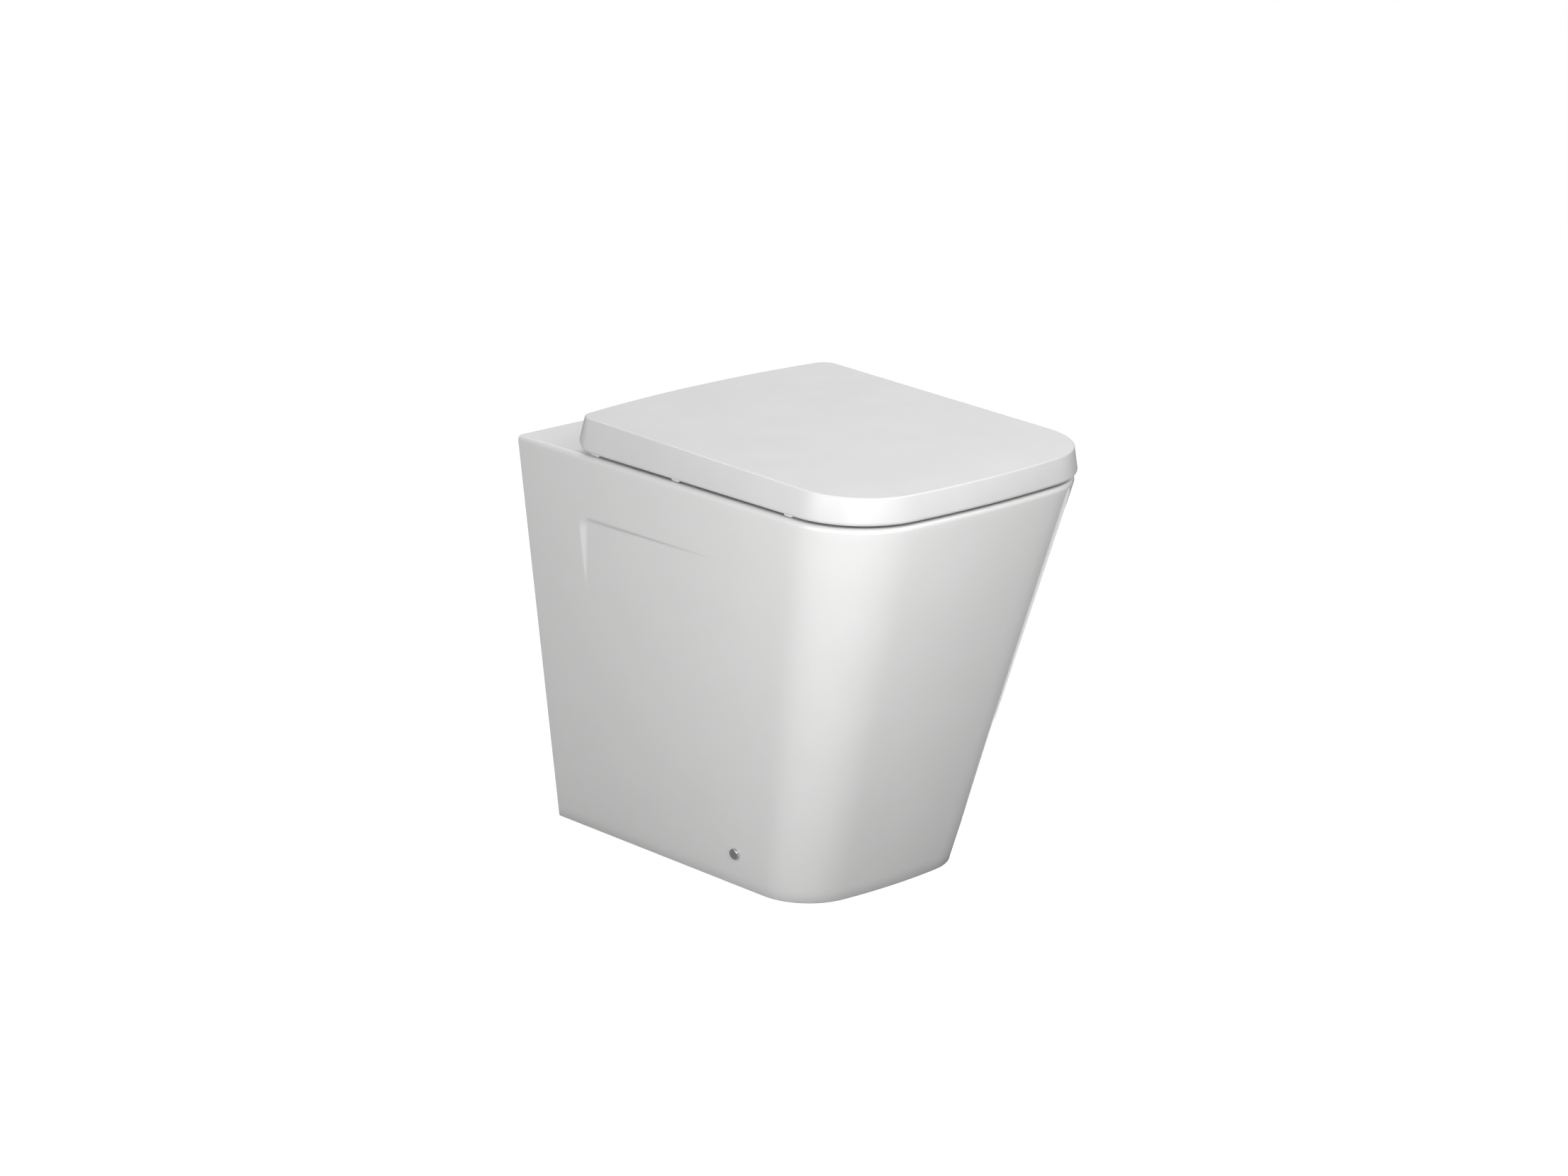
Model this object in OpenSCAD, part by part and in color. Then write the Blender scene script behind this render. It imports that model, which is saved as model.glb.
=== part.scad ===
// Back to wall toilet: a floor-standing ceramic pan whose sides and front taper
// down to a small footprint, with a soft-square seat ring and wrap-over lid.
// Millimetres. The wall is the plane y = 0, the floor is z = 0, the pan's middle
// is x = 0 and the pan projects from the wall towards -Y.

/* [Pan] */
// Width of the pan across its rim
pan_w = 350; // [330:1:380]
// Distance from the wall to the rim's front corners
pan_d = 480; // [460:1:520]
// How far the middle of the rim's front bows out past its corners
pan_bow = 12; // [6:1:20]
// Height of the rim above the floor
pan_h = 420; // [410:1:460]
// Radius of the rim's front corners, seen from above
pan_corner_r = 85; // [60:1:100]
// Radius of the rim's rounded outer edge
rim_edge_r = 6; // [4:0.5:8]
// Width of the foot where it meets the floor
foot_w = 237; // [220:1:260]
// Distance from the wall to the foot's front corners
foot_d = 362; // [340:1:390]
// How far the middle of the foot's front bows out past its corners
foot_bow = 11; // [6:1:18]
// Radius of the foot's front corners, seen from above
foot_corner_r = 59; // [40:1:75]
// Thickness of the ceramic walls
wall = 9; // [7:0.5:11]
// Thickness of the ceramic deck and rim
deck_t = 12; // [10:0.5:16]
// Thickness of the flange that stands against the wall
flange_t = 14; // [10:1:20]
// Width of that flange, in from the pan's outline
flange_w = 24; // [18:1:30]

/* [Bowl] */
// Half the width of the bowl's mouth
mouth_half_w = 134; // [125:1:140]
// Distance from the front of the rim's corners back to the front of the bowl's mouth
mouth_front_in = 40; // [35:1:50]
// Distance from the wall to the back of the bowl's mouth
mouth_back = 172; // [165:1:180]
// Corner radius of the bowl's mouth
mouth_corner_r = 76; // [60:1:90]
// Radius of the mouth's rounded edge
mouth_edge_r = 7; // [4:0.5:9]
// Depth from the rim to the water level
bowl_depth = 205; // [190:1:215]
// How sharply the bowl's sides turn in towards the water
bowl_curve = 2.4; // [1.8:0.1:3]
// Half the width of the water surface
sump_half_w = 48; // [42:1:56]
// Distance from the wall to the front of the water surface
sump_front = 330; // [320:1:345]
// Distance from the wall to the back of the water surface
sump_back = 240; // [236:1:246]
// Corner radius of the water surface
sump_corner_r = 40; // [30:1:41]
// Depth of the sump below the water level
sump_depth = 105; // [95:1:110]

/* [Trapway and inlet] */
// Radius of the trapway's bore
trap_r = 29; // [27:0.5:31]
// Distance from the wall to the trapway's lowest bend
dip_d = 222; // [218:1:226]
// Height of the middle of that bend
dip_h = 136; // [130:1:140]
// Distance from the wall to the trapway's weir
weir_d = 163; // [158:1:166]
// Height of the middle of the trapway over the weir
weir_h = 244; // [238:1:248]
// Distance from the wall to the top of the trapway's fall
fall_d = 122; // [116:1:128]
// Height of the outlet's middle above the floor
outlet_h = 185; // [175:1:195]
// Outer radius of the outlet spigot
outlet_r = 51; // [48:0.5:55]
// Distance from the wall to the end of the spigot
outlet_gap = 34; // [30:1:40]
// Length of the spigot's straight part
outlet_len = 41; // [36:1:42]
// Depth of the flush inlet's middle below the rim
inlet_drop = 75; // [70:1:85]
// Radius of the flush inlet's bore
inlet_r = 27.5; // [25:0.5:29]
// Distance from the wall to the mouth of the inlet
inlet_gap = 50; // [40:1:60]
// Length of the inlet's bore
inlet_len = 60; // [50:1:70]
// Width of the slot where the flush enters the bowl
slot_w = 60; // [40:1:70]
// Height of that slot
slot_t = 20; // [14:1:24]

/* [Side recess] */
// Distance from the wall to the recess's rear edge
recess_back = 84; // [70:1:100]
// Distance from the wall to where the recess fades out
recess_front = 285; // [240:1:320]
// Distance from the rim down to the recess's upper edge
recess_drop = 67; // [50:1:90]
// Height of the recess's rear edge
recess_leg = 76; // [50:1:100]
// Deepest point of the recess, at its upper rear corner
recess_depth = 3; // [1.5:0.5:4]
// Width of the sloping rear edge
recess_rear_bevel = 9; // [5:0.5:12]
// Width of the sloping upper edge
recess_top_bevel = 3.5; // [2:0.5:6]
// Corner radius of the recess
recess_r = 14; // [8:1:20]

/* [Seat and lid] */
// Gap between the rim and the lid's lower edge
lid_gap = 6; // [5:0.5:7]
// Height of the lid's side at the front
lid_h = 24; // [22:0.5:28]
// How much higher the lid's top is at the back than at the front
lid_rise = 7.5; // [6:0.5:9]
// Distance from the wall to the lid's rear corners, at their foot
lid_back = 84.5; // [82:0.5:88]
// How far the lid's front edge stands back from the rim's
lid_setback = 0.5; // [0:0.5:3]
// How far the middle of the lid's front bows out past its corners
lid_bow = 14; // [8:1:18]
// How far the middle of the lid's rear edge bows out past its corners
lid_rear_bow = 12; // [10:1:14]
// Radius of the lid's front corners, seen from above
lid_corner_r = 83; // [70:1:95]
// Radius of the lid's rear corners, seen from above
lid_rear_r = 22; // [14:1:28]
// How far each side of the lid leans in from its foot to its top
lid_draft = 5; // [2:0.5:7]
// How far the lid's front leans in
lid_front_draft = 2.5; // [1:0.5:5]
// How far the lid's rear leans in
lid_rear_draft = 4.5; // [3:0.5:5]
// Radius along the lid's lower edge
lid_foot_r = 4; // [2:0.5:5]
// Radius along the lid's upper edge
lid_top_r = 1.5; // [0.5:0.25:3]
// Thickness of the lid's skirt
lid_wall = 5; // [4:0.5:6]
// Thickness of the lid's top
lid_top_t = 4; // [3.5:0.25:4.5]
// Half the width of the opening in the lid's rear skirt, for the hinges
lid_notch_half_w = 118; // [112:1:130]
// Space between the lid's skirt and the seat ring
ring_clear = 7; // [6:0.5:9]
// Distance from the wall to the seat ring's rear edge
ring_back = 106; // [105:1:110]
// Height of the space between the rim and the seat ring
ring_gap = 8; // [7:0.5:8]
// Thickness of the seat ring
ring_t = 14; // [12:0.5:15]
// Half the width of the seat ring's opening
hole_half_w = 112; // [100:1:118]
// How far the front of the ring's opening stands back from the mouth's
hole_front_in = 22; // [15:1:35]
// Distance from the wall to the back of the ring's opening
hole_back = 168; // [164:1:180]
// Corner radius of the ring's opening, at the front
hole_corner_r = 80; // [60:1:90]
// Corner radius of the ring's opening, at the back
hole_rear_r = 68; // [50:1:78]
// How far the middles of the opening's ends bow out past its corners
hole_bow = 9; // [5:1:12]
// Corner radius of the seat ring's rear edge
ring_rear_r = 26; // [15:1:30]
// How far the middle of the ring's rear edge bows out past its corners
ring_rear_bow = 4; // [2:0.5:6]
// Radius of the seat ring's upper edges
ring_edge_r = 5; // [3:0.5:6]
// Radius of the seat ring's lower edges
ring_foot_r = 2.5; // [1.5:0.5:4]

/* [Hinges] */
// Distance from the wall to the hinge axis
hinge_d = 80; // [79:0.5:81]
// Height of the hinge axis above the rim
hinge_rise = 26; // [25.5:0.25:26.25]
// Distance between the middles of the two hinges
hinge_span = 155; // [145:1:165]
// Distance from the wall to the seat fixing holes
fixing_d = 92; // [91:0.5:94]
// Radius of the seat fixing holes in the deck
fixing_hole_r = 8; // [7:0.5:9]
// Radius of the hinge barrels
barrel_r = 7.2; // [6.8:0.1:7.4]
// Radius of the hinge pins
pin_r = 4; // [3:0.25:4.25]
// Outer radius of the soft-close dampers
damper_r = 6; // [5.5:0.1:6.2]
// Length of each soft-close damper
damper_len = 14; // [10:0.5:15]
// Width of each hinge post, along the axis
post_w = 14.6; // [12:0.2:16]
// Depth of each hinge post, front to back
post_deep = 17; // [14:0.5:17.5]
// Width of each hinge arm, along the axis
arm_w = 16.5; // [15:0.5:18]
// Distance from the wall to the front ends of the hinge arms
arm_reach = 152; // [148:1:156]
// Thickness of the hinge arms' plates
arm_t = 4; // [3:0.25:4]
// Distances from the wall to the arm screws
arm_screws_d = [119, 140];
// Radius of the base plates and of the washers under them
base_r = 14; // [12:0.5:15]
// Thickness of each base plate
base_t = 2; // [1.5:0.25:2.25]
// Thickness of the soft washer under each base plate
gasket_t = 1; // [0.5:0.25:1.25]
// Radius of the studs that hold the hinges down
stud_r = 3; // [2.5:0.25:3.5]
// Height of each stud inside its hinge post
stud_grip = 9; // [7:0.5:12]

/* [Fixings] */
// Distance from the wall to the side screws
side_fix_d = 274.5; // [250:0.5:300]
// Height of the side screws above the floor, at the pan's outer face
side_fix_h = 36.5; // [32:0.5:45]
// Radius of the holes for the side screws
side_hole_r = 4.5; // [4:0.1:5]
// Radius of the side screws
side_screw_r = 2.5; // [2:0.1:2.75]
// Length of the side screws under their heads
side_screw_len = 30; // [25:1:40]
// Outer radius of the chrome caps
cap_r = 6.25; // [6:0.05:8]
// Height of the chrome caps
cap_h = 4; // [3.6:0.2:6]
// Length of each floor bracket, front to back
bracket_len = 60; // [50:1:80]
// Thickness of the floor brackets
bracket_t = 5; // [4:0.5:7]
// Height of the floor brackets
bracket_h = 58; // [54:1:70]
// Width of the bracket's foot, inwards from its upright
bracket_foot_w = 32; // [26:1:38]
// Thickness of the bracket's foot
bracket_foot_t = 4; // [3:0.5:6]
// Radius of the holes for the floor screws
floor_hole_r = 3.25; // [2.5:0.25:4]
// Distance between the two floor screws of one bracket
floor_hole_pitch = 40; // [30:1:44]

/* [Buffers] */
// Distances from the wall to the seat ring's buffers
seat_buffers_d = [130, 235, 390];
// Distance from the seat ring's side in to the middles of its buffers
seat_buffer_in = 9; // [8:0.5:12]
// Length of a seat buffer
seat_buffer_len = 20; // [14:1:24]
// Width of a seat buffer
seat_buffer_w = 8; // [6:0.5:9]
// Places of the lid's buffers: across from the middle, and out from the wall
lid_buffers_at = [[70, 448], [137, 200]];
// Radius of a lid buffer
lid_buffer_r = 6; // [4:0.5:7]
// Radius of the stems that hold the buffers
stem_r = 2.5; // [1.5:0.25:3]

/* [Hidden] */

// how finely round things are drawn
$fn = 48;
// points on each rounded corner, and on each half of a bowed end
corner_n = 7;
end_n = 4;
// clearances: between a rest and what lies on it, of a fixing in its hole,
// of a turning pin, and of a fixing that bears on the china's sloping side
rest_clear = 0.3;
fix_clear = 0.1;
run_clear = 0.05;
bearing_clear = 0.05;
// a cut goes this far past the face that it opens
past = 1;

// ---- outlines seen from above ----
// A soft-square outline is [half width, front, back, front bow, back bow,
// front corner radius, back corner radius], with front and back as distances
// from the wall.

function lerp(a, b, t) = a + (b - a) * t;

function arc(centre, r, from, to, n) =
    [for (i = [0:n]) centre + r * [cos(lerp(from, to, i / n)), sin(lerp(from, to, i / n))]];

function tail(points) = [for (i = [1:1:len(points) - 1]) points[i]];

// half of one end: from the side's tangent point round the corner to the middle
function half_end(hw, end, bow, r) =
    bow > 0 ? bowed_half_end(hw, end, bow, r) : flat_half_end(hw, end, r);

function bowed_half_end(hw, end, bow, r) =
    let (big = (hw * hw + bow * bow) / (2 * bow),
        centre = [0, end + bow - big],
        corner = [hw - r, centre.y + sqrt((big - r) * (big - r) - (hw - r) * (hw - r))],
        turn = atan2(corner.y - centre.y, corner.x))
    concat(arc(corner, r, 0, turn, corner_n), tail(arc(centre, big, turn, 90, end_n)));

function flat_half_end(hw, end, r) =
    concat(arc([hw - r, end - r], r, 0, 90, corner_n),
        [for (i = [1:end_n]) [lerp(hw - r, 0, i / end_n), end]]);

function reversed(points) = [for (i = [len(points) - 1:-1:0]) points[i]];

function outline(s) =
    let (front = half_end(s[0], s[1], s[3], s[5]),
        back = half_end(s[0], -s[2], s[4], s[6]))
    concat(back,
        tail(reversed([for (p = back) [-p.x, p.y]])),
        [for (p = front) [-p.x, -p.y]],
        tail(reversed([for (p = front) [p.x, -p.y]])));

// the same outline with its sides, front, back and corners moved in
function inset(s, by, by_back) =
    [s[0] - by, s[1] - by, s[2] + by_back, s[3], s[4], s[5] - by, s[6] - min(by, by_back)];

function at_height(points, z) = [for (p = points) [p.x, p.y, z]];

// ---- skins through a stack of outlines, listed upwards ----

function ring_faces(low, high, n) =
    [for (i = [0:n - 1]) each [[low + i, high + i, high + (i + 1) % n],
        [low + i, high + (i + 1) % n, low + (i + 1) % n]]];

module skin(rings) {
    n = len(rings[0]);
    last = len(rings) - 1;
    polyhedron(points = [for (r = rings) each r],
        faces = concat([[for (i = [0:n - 1]) i]],
            [for (k = [0:last - 1]) each ring_faces(k * n, (k + 1) * n, n)],
            [[for (i = [n - 1:-1:0]) last * n + i]]));
}

// the same, with the last outline joined to the first, for a ring
module loop_skin(rings) {
    n = len(rings[0]);
    count = len(rings);
    polyhedron(points = [for (r = rings) each r],
        faces = [for (k = [0:count - 1]) each ring_faces(k * n, ((k + 1) % count) * n, n)]);
}

module both_sides() {
    children();
    mirror([1, 0, 0]) children();
}

// a rod along +X from x0 to x1
module x_rod(r, x0, x1) {
    translate([x0, 0, 0]) rotate([0, 90, 0]) cylinder(r = r, h = x1 - x0);
}

// a plate with the outline of points, given as [distance from the wall, height]
module side_plate(points, x0, x1) {
    translate([x0, 0, 0]) rotate([90, 0, 90]) linear_extrude(x1 - x0)
        polygon([for (p = points) [-p[0], p[1]]]);
}

// ---- pan ----

side_slope = (pan_w - foot_w) / 2 / pan_h;
side_lean = atan(side_slope);

function pan_half_w(z) = foot_w / 2 + side_slope * z;

function pan_outline(z) =
    let (t = z / pan_h)
    [pan_half_w(z), lerp(foot_d, pan_d, t), 0, lerp(foot_bow, pan_bow, t), 0,
        lerp(foot_corner_r, pan_corner_r, t), 1];

pan_edge_steps = 5;
outer_rings = concat(
    [for (z = [0, pan_h / 2]) at_height(outline(pan_outline(z)), z)],
    [for (i = [0:pan_edge_steps])
        let (a = 90 * i / pan_edge_steps, z = pan_h - rim_edge_r * (1 - sin(a)))
        at_height(outline(inset(pan_outline(z), rim_edge_r * (1 - cos(a)), 0)), z)]);

cavity_rings = [for (z = [-past, pan_h / 2, pan_h - deck_t])
    at_height(outline(inset(pan_outline(z), wall, flange_t)), z)];

mouth_front = pan_d - mouth_front_in;
mouth = [mouth_half_w, mouth_front, mouth_back, pan_bow, pan_bow, mouth_corner_r,
    mouth_corner_r];
water = [sump_half_w, sump_front, sump_back, 4, 4, sump_corner_r, sump_corner_r];
water_h = pan_h - bowl_depth;
bowl_steps = 10;
bowl_steps_under = 5;
sump_taper = 10;
sump_floor_r = 14;

function blend(a, b, t) = [for (i = [0:len(a) - 1]) lerp(a[i], b[i], t)];

// the bowl's skin, moved out: the floor of the sump, its sides, and the bowl up to
// a depth of top below the rim
function bowl_rings(out, steps, top) = concat(
    [for (i = [0:3])
        let (a = 30 * i)
        at_height(outline(inset(water, sump_taper + sump_floor_r * (1 - sin(a)) - out,
                sump_taper + sump_floor_r * (1 - sin(a)) - out)),
            water_h - sump_depth + sump_floor_r * (1 - cos(a)) - out)],
    [for (i = [0:steps])
        let (depth = lerp(bowl_depth, top, i / steps))
        at_height(outline(inset(blend(mouth, water, pow(depth / bowl_depth, bowl_curve)),
            -out, -out)), pan_h - depth)]);

mouth_edge_rings = concat(
    [for (i = [1:4])
        let (a = 22.5 * i, out = mouth_edge_r * (1 - cos(a)))
        at_height(outline(inset(mouth, -out, -out)), pan_h - mouth_edge_r * (1 - sin(a)))],
    [at_height(outline(inset(mouth, -mouth_edge_r, -mouth_edge_r)), pan_h + past)]);

inlet_h = pan_h - inlet_drop;
outlet_d = outlet_gap + outlet_len;
outlet_bore_r = outlet_r - wall;
// the trapway turns level this far in front of the spigot, runs on to this far
// in front of it, and is this much smaller there
outlet_turn = 30;
outlet_run = 12;
outlet_step = 2;
pipe_n = 20;

// a rounded length of pipe between two places, given as [distance from the wall,
// height]
module pipe(a, b, r1, r2) {
    way = b - a;
    translate([0, -a[0], a[1]]) {
        sphere(r = r1, $fn = pipe_n);
        rotate([atan2(way[0], way[1]), 0, 0])
            cylinder(r1 = r1, r2 = r2, h = norm(way), $fn = pipe_n);
    }
    translate([0, -b[0], b[1]]) sphere(r = r2, $fn = pipe_n);
}

// the trapway from its lowest bend over the weir to the outlet, moved out by out
module trapway(out) {
    dip = [dip_d, dip_h];
    weir = [weir_d, weir_h];
    fall = [fall_d, weir_h];
    turn = [outlet_d + outlet_turn, outlet_h];
    end = [outlet_d + outlet_run, outlet_h];
    end_r = outlet_bore_r + out - outlet_step;
    pipe(dip, weir, trap_r + out, trap_r + out);
    pipe(weir, fall, trap_r + out, trap_r + out);
    pipe(fall, turn, trap_r + out, end_r);
    pipe(turn, end, end_r, end_r);
}

// the duct from the inlet to the bowl, moved out, and reaching into the bowl
duct_reach = 20;
module flush_duct(out, back) {
    translate([-slot_w / 2 - out, -mouth_back - back, inlet_h - out])
        cube([slot_w + 2 * out, mouth_back + back - inlet_gap - inlet_len + past,
            slot_t + 2 * out]);
}

module rear_opening() {
    top = pan_h - flange_w - deck_t;
    rotate([90, 0, 0]) translate([0, 0, -past]) linear_extrude(flange_t + 2 * past)
        polygon([for (c = [[-1, 0], [1, 0], [1, 1], [-1, 1]])
            let (z = c[1] ? top : -past)
            [c[0] * (pan_half_w(z) - flange_w), z]]);
}

// The recess is deepest at its upper rear corner, and its flat floor rises from
// there to meet the pan's side along the line from its front end to its lower
// end. Its points are [forwards from the rear edge, down from the upper edge].
// The cutter runs on in the same planes, past the side.
recess_len = recess_front - recess_back;
recess_over = past / recess_depth;
recess_edge = concat([[0, recess_leg * (1 + recess_over)]],
    [for (a = [180:22.5:270]) [recess_r * (1 + cos(a)), recess_r * (1 + sin(a))]],
    [[recess_len * (1 + recess_over), 0]]);

// 1 where the recess is deepest, 0 where its floor meets the side
function recess_fade(p) = 1 - p[0] / recess_len - p[1] / recess_leg;

// how far in from the edge the sloping edges reach, where the recess is deepest
function recess_bevel(p) = [recess_rear_bevel * max(0, 1 - p[0] / recess_r),
    recess_top_bevel * max(0, 1 - p[1] / recess_r)];

// a point of the recess on the pan's side, moved out by x
function on_side(p, x) =
    let (z = pan_h - recess_drop - p[1])
    [pan_half_w(z) + x, -recess_back - p[0], z];

module side_recess() {
    lift = 2 * past;
    skin([
        [for (p = recess_edge)
            let (q = p + recess_fade(p) * recess_bevel(p))
            on_side(q, -recess_depth * recess_fade(q))],
        [for (p = recess_edge)
            let (q = p + recess_fade(p) * recess_bevel(p),
                run = recess_fade(p) / recess_fade(q) / recess_depth)
            on_side(p - lift * run * recess_bevel(p), lift)]]);
}

// the frame of a side fixing: its origin on the pan's side, +X out of the china
module at_side_fixing() {
    translate([pan_half_w(side_fix_h), -side_fix_d, side_fix_h])
        rotate([0, side_lean, 0]) children();
}

// the same, just clear of the china
module on_side_fixing() {
    at_side_fixing() translate([bearing_clear, 0, 0]) children();
}

module at_fixing() {
    translate([hinge_span / 2, -fixing_d, 0]) children();
}

// The pan is one casting. It is drawn as four solids, a hair apart, so that each
// has a simple form: the skirt with its deck, the bowl, the trapway and the
// flush inlet. A resize() that changes nothing has each one's faceted forms
// joined and cut together, before its round holes are made.

module pan_skirt() {
    color("white") difference() {
        resize([0, 0, 0]) difference() {
            skin(outer_rings);
            skin(cavity_rings);
            rear_opening();
            skin(concat(bowl_rings(0, bowl_steps, mouth_edge_r), mouth_edge_rings));
            both_sides() side_recess();
        }
        both_sides() {
            at_fixing() translate([0, 0, pan_h - deck_t - past])
                cylinder(r = fixing_hole_r, h = deck_t + 2 * past);
            at_side_fixing() x_rod(side_hole_r, -wall - past, past);
        }
    }
}

// what lies inside the bowl's outer face, with a hair's clearance
module bowl_space() {
    skin(bowl_rings(wall + bearing_clear, bowl_steps_under, deck_t));
}

module pan_bowl() {
    color("white") resize([0, 0, 0]) difference() {
        skin(bowl_rings(wall, bowl_steps_under, deck_t));
        skin(bowl_rings(0, bowl_steps, mouth_edge_r));
        pipe([dip_d, dip_h], [sump_back + trap_r, dip_h], trap_r, trap_r);
        trapway(0);
        flush_duct(0, duct_reach);
    }
}

module pan_trapway() {
    color("white") difference() {
        union() {
            resize([0, 0, 0]) difference() {
                trapway(wall);
                trapway(0);
                bowl_space();
            }
            translate([0, -outlet_gap, outlet_h]) rotate([90, 0, 0])
                cylinder(r = outlet_r, h = outlet_len);
        }
        translate([0, past - outlet_gap, outlet_h]) rotate([90, 0, 0])
            cylinder(r = outlet_bore_r, h = outlet_len + past);
    }
}

module pan_inlet() {
    color("white") difference() {
        union() {
            resize([0, 0, 0]) difference() {
                flush_duct(wall, 0);
                bowl_space();
            }
            translate([0, -inlet_gap, inlet_h]) rotate([90, 0, 0])
                cylinder(r = inlet_r + wall, h = inlet_len + wall);
        }
        translate([0, past - inlet_gap, inlet_h]) rotate([90, 0, 0])
            cylinder(r = inlet_r, h = inlet_len + past);
        flush_duct(0, duct_reach);
    }
}

// ---- floor brackets and side fixings ----

// the outer face of a bracket's upright, at height z
function bracket_face(z) = pan_half_w(z) - wall - rest_clear;
floor_hole_x = bracket_face(0) - bracket_t - bracket_foot_w / 2;
bracket_boss_r = 8;
bracket_boss_len = 7;

module floor_brackets() {
    color("dimgray") both_sides() difference() {
        union() {
            translate([0, bracket_len / 2 - side_fix_d, 0]) rotate([90, 0, 0])
                linear_extrude(bracket_len) polygon([
                    [bracket_face(0), 0],
                    [bracket_face(bracket_h), bracket_h],
                    [bracket_face(bracket_h) - bracket_t, bracket_h],
                    [bracket_face(bracket_foot_t) - bracket_t, bracket_foot_t],
                    [bracket_face(0) - bracket_t - bracket_foot_w, bracket_foot_t],
                    [bracket_face(0) - bracket_t - bracket_foot_w, 0]]);
            at_side_fixing() x_rod(bracket_boss_r, -wall - bracket_t - bracket_boss_len,
                -wall - bracket_t / 2);
        }
        at_side_fixing() x_rod(side_screw_r + fix_clear, -wall - side_screw_len, 0);
        for (side = [-1, 1])
            translate([floor_hole_x, side * floor_hole_pitch / 2 - side_fix_d, -past])
                cylinder(r = floor_hole_r, h = bracket_foot_t + 2 * past);
    }
}

sleeve_flange_r = cap_r - 1;
sleeve_flange_t = 0.8;
screw_head_r = sleeve_flange_r - 1;
screw_head_h = 1.8;
cap_skin = 0.6;

module side_screws() {
    color("silver") both_sides() on_side_fixing() difference() {
        union() {
            x_rod(side_screw_r, sleeve_flange_t - side_screw_len, sleeve_flange_t);
            x_rod(screw_head_r, sleeve_flange_t, sleeve_flange_t + screw_head_h);
        }
        // the driver socket
        x_rod(side_screw_r / 2, sleeve_flange_t + screw_head_h / 3,
            sleeve_flange_t + screw_head_h + past);
    }
}

module side_screw_sleeves() {
    color("whitesmoke") both_sides() on_side_fixing() difference() {
        union() {
            x_rod(side_hole_r - fix_clear, -wall * cos(side_lean), sleeve_flange_t / 2);
            x_rod(sleeve_flange_r, 0, sleeve_flange_t);
        }
        x_rod(side_screw_r + fix_clear, -wall - past, sleeve_flange_t + past);
    }
}

cap_chamfer = 0.8;
module side_screw_caps() {
    color("silver") both_sides() on_side_fixing() rotate([0, 90, 0]) rotate_extrude()
        polygon([[cap_r - cap_skin, 0], [cap_r, 0], [cap_r, cap_h - cap_chamfer],
            [cap_r - cap_chamfer, cap_h], [0, cap_h], [0, cap_h - cap_skin],
            [cap_r - cap_chamfer - cap_skin / 2, cap_h - cap_skin],
            [cap_r - cap_skin, cap_h - cap_chamfer - cap_skin / 2]]);
}

// ---- hinge fixings ----

base_z = pan_h + gasket_t;
post_z = base_z + base_t;
bush_flange_t = 12;
bush_flange_r = fixing_hole_r + 3;
washer_t = 2;
nut_h = 5;
nut_across = 10;
stud_tail = 3;
bush_z = pan_h - deck_t - bush_flange_t;

module deck_gaskets() {
    color("gainsboro") both_sides() at_fixing() translate([0, 0, pan_h]) difference() {
        cylinder(r = base_r, h = gasket_t);
        translate([0, 0, -past])
            cylinder(r = stud_r + fix_clear, h = gasket_t + 2 * past);
    }
}

module hinge_base_plates() {
    color("silver") both_sides() at_fixing() translate([0, 0, base_z]) difference() {
        cylinder(r = base_r, h = base_t);
        translate([0, 0, -past])
            cylinder(r = stud_r + fix_clear, h = base_t + 2 * past);
    }
}

module hinge_studs() {
    foot = bush_z - washer_t - nut_h - stud_tail;
    color("silver") both_sides() at_fixing() translate([0, 0, foot])
        cylinder(r = stud_r, h = post_z + stud_grip - foot);
}

module expansion_bushes() {
    color("dimgray") both_sides() at_fixing() translate([0, 0, bush_z]) difference() {
        union() {
            cylinder(r = bush_flange_r, h = bush_flange_t);
            cylinder(r = fixing_hole_r - fix_clear, h = bush_flange_t + deck_t);
        }
        translate([0, 0, -past])
            cylinder(r = stud_r + fix_clear, h = bush_flange_t + deck_t + 2 * past);
    }
}

module clamp_washers() {
    color("silver") both_sides() at_fixing() translate([0, 0, bush_z - washer_t])
        difference() {
            cylinder(r = bush_flange_r, h = washer_t);
            translate([0, 0, -past])
                cylinder(r = stud_r + fix_clear, h = washer_t + 2 * past);
        }
}

module clamp_nuts() {
    color("silver") both_sides() at_fixing() translate([0, 0, bush_z - washer_t - nut_h])
        difference() {
            cylinder(r = nut_across / 2 / cos(30), h = nut_h, $fn = 6);
            translate([0, 0, -past])
                cylinder(r = stud_r + run_clear, h = nut_h + 2 * past);
        }
}

// ---- hinges ----

axis_z = pan_h + hinge_rise;
post_half = post_w / 2;
arm_gap = 0.6;
post_rear = fixing_d - post_deep / 2 + 1;
neck_top = axis_z + barrel_r / 2;
grub_r = 2;
grub_len = 6.5;
grub_z = post_z + stud_grip / 2;

module at_hinge() {
    translate([hinge_span / 2, -hinge_d, axis_z]) children();
}

module hinge_posts() {
    front = post_rear + post_deep;
    color("silver") both_sides() difference() {
        union() {
            side_plate([[front, post_z], [post_rear, post_z], [post_rear, neck_top],
                [post_rear + barrel_r, neck_top], [front, post_z + stud_grip + grub_r]],
                hinge_span / 2 - post_half, hinge_span / 2 + post_half);
            at_hinge() x_rod(barrel_r, -post_half, post_half);
        }
        at_hinge() x_rod(pin_r + run_clear / 2, -post_half - past, post_half + past);
        at_fixing() translate([0, 0, post_z - past])
            cylinder(r = stud_r + fix_clear, h = stud_grip + past + rest_clear);
        translate([hinge_span / 2, -front - past, grub_z]) rotate([-90, 0, 0])
            cylinder(r = grub_r + run_clear, h = front + past - fixing_d);
    }
}

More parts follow.
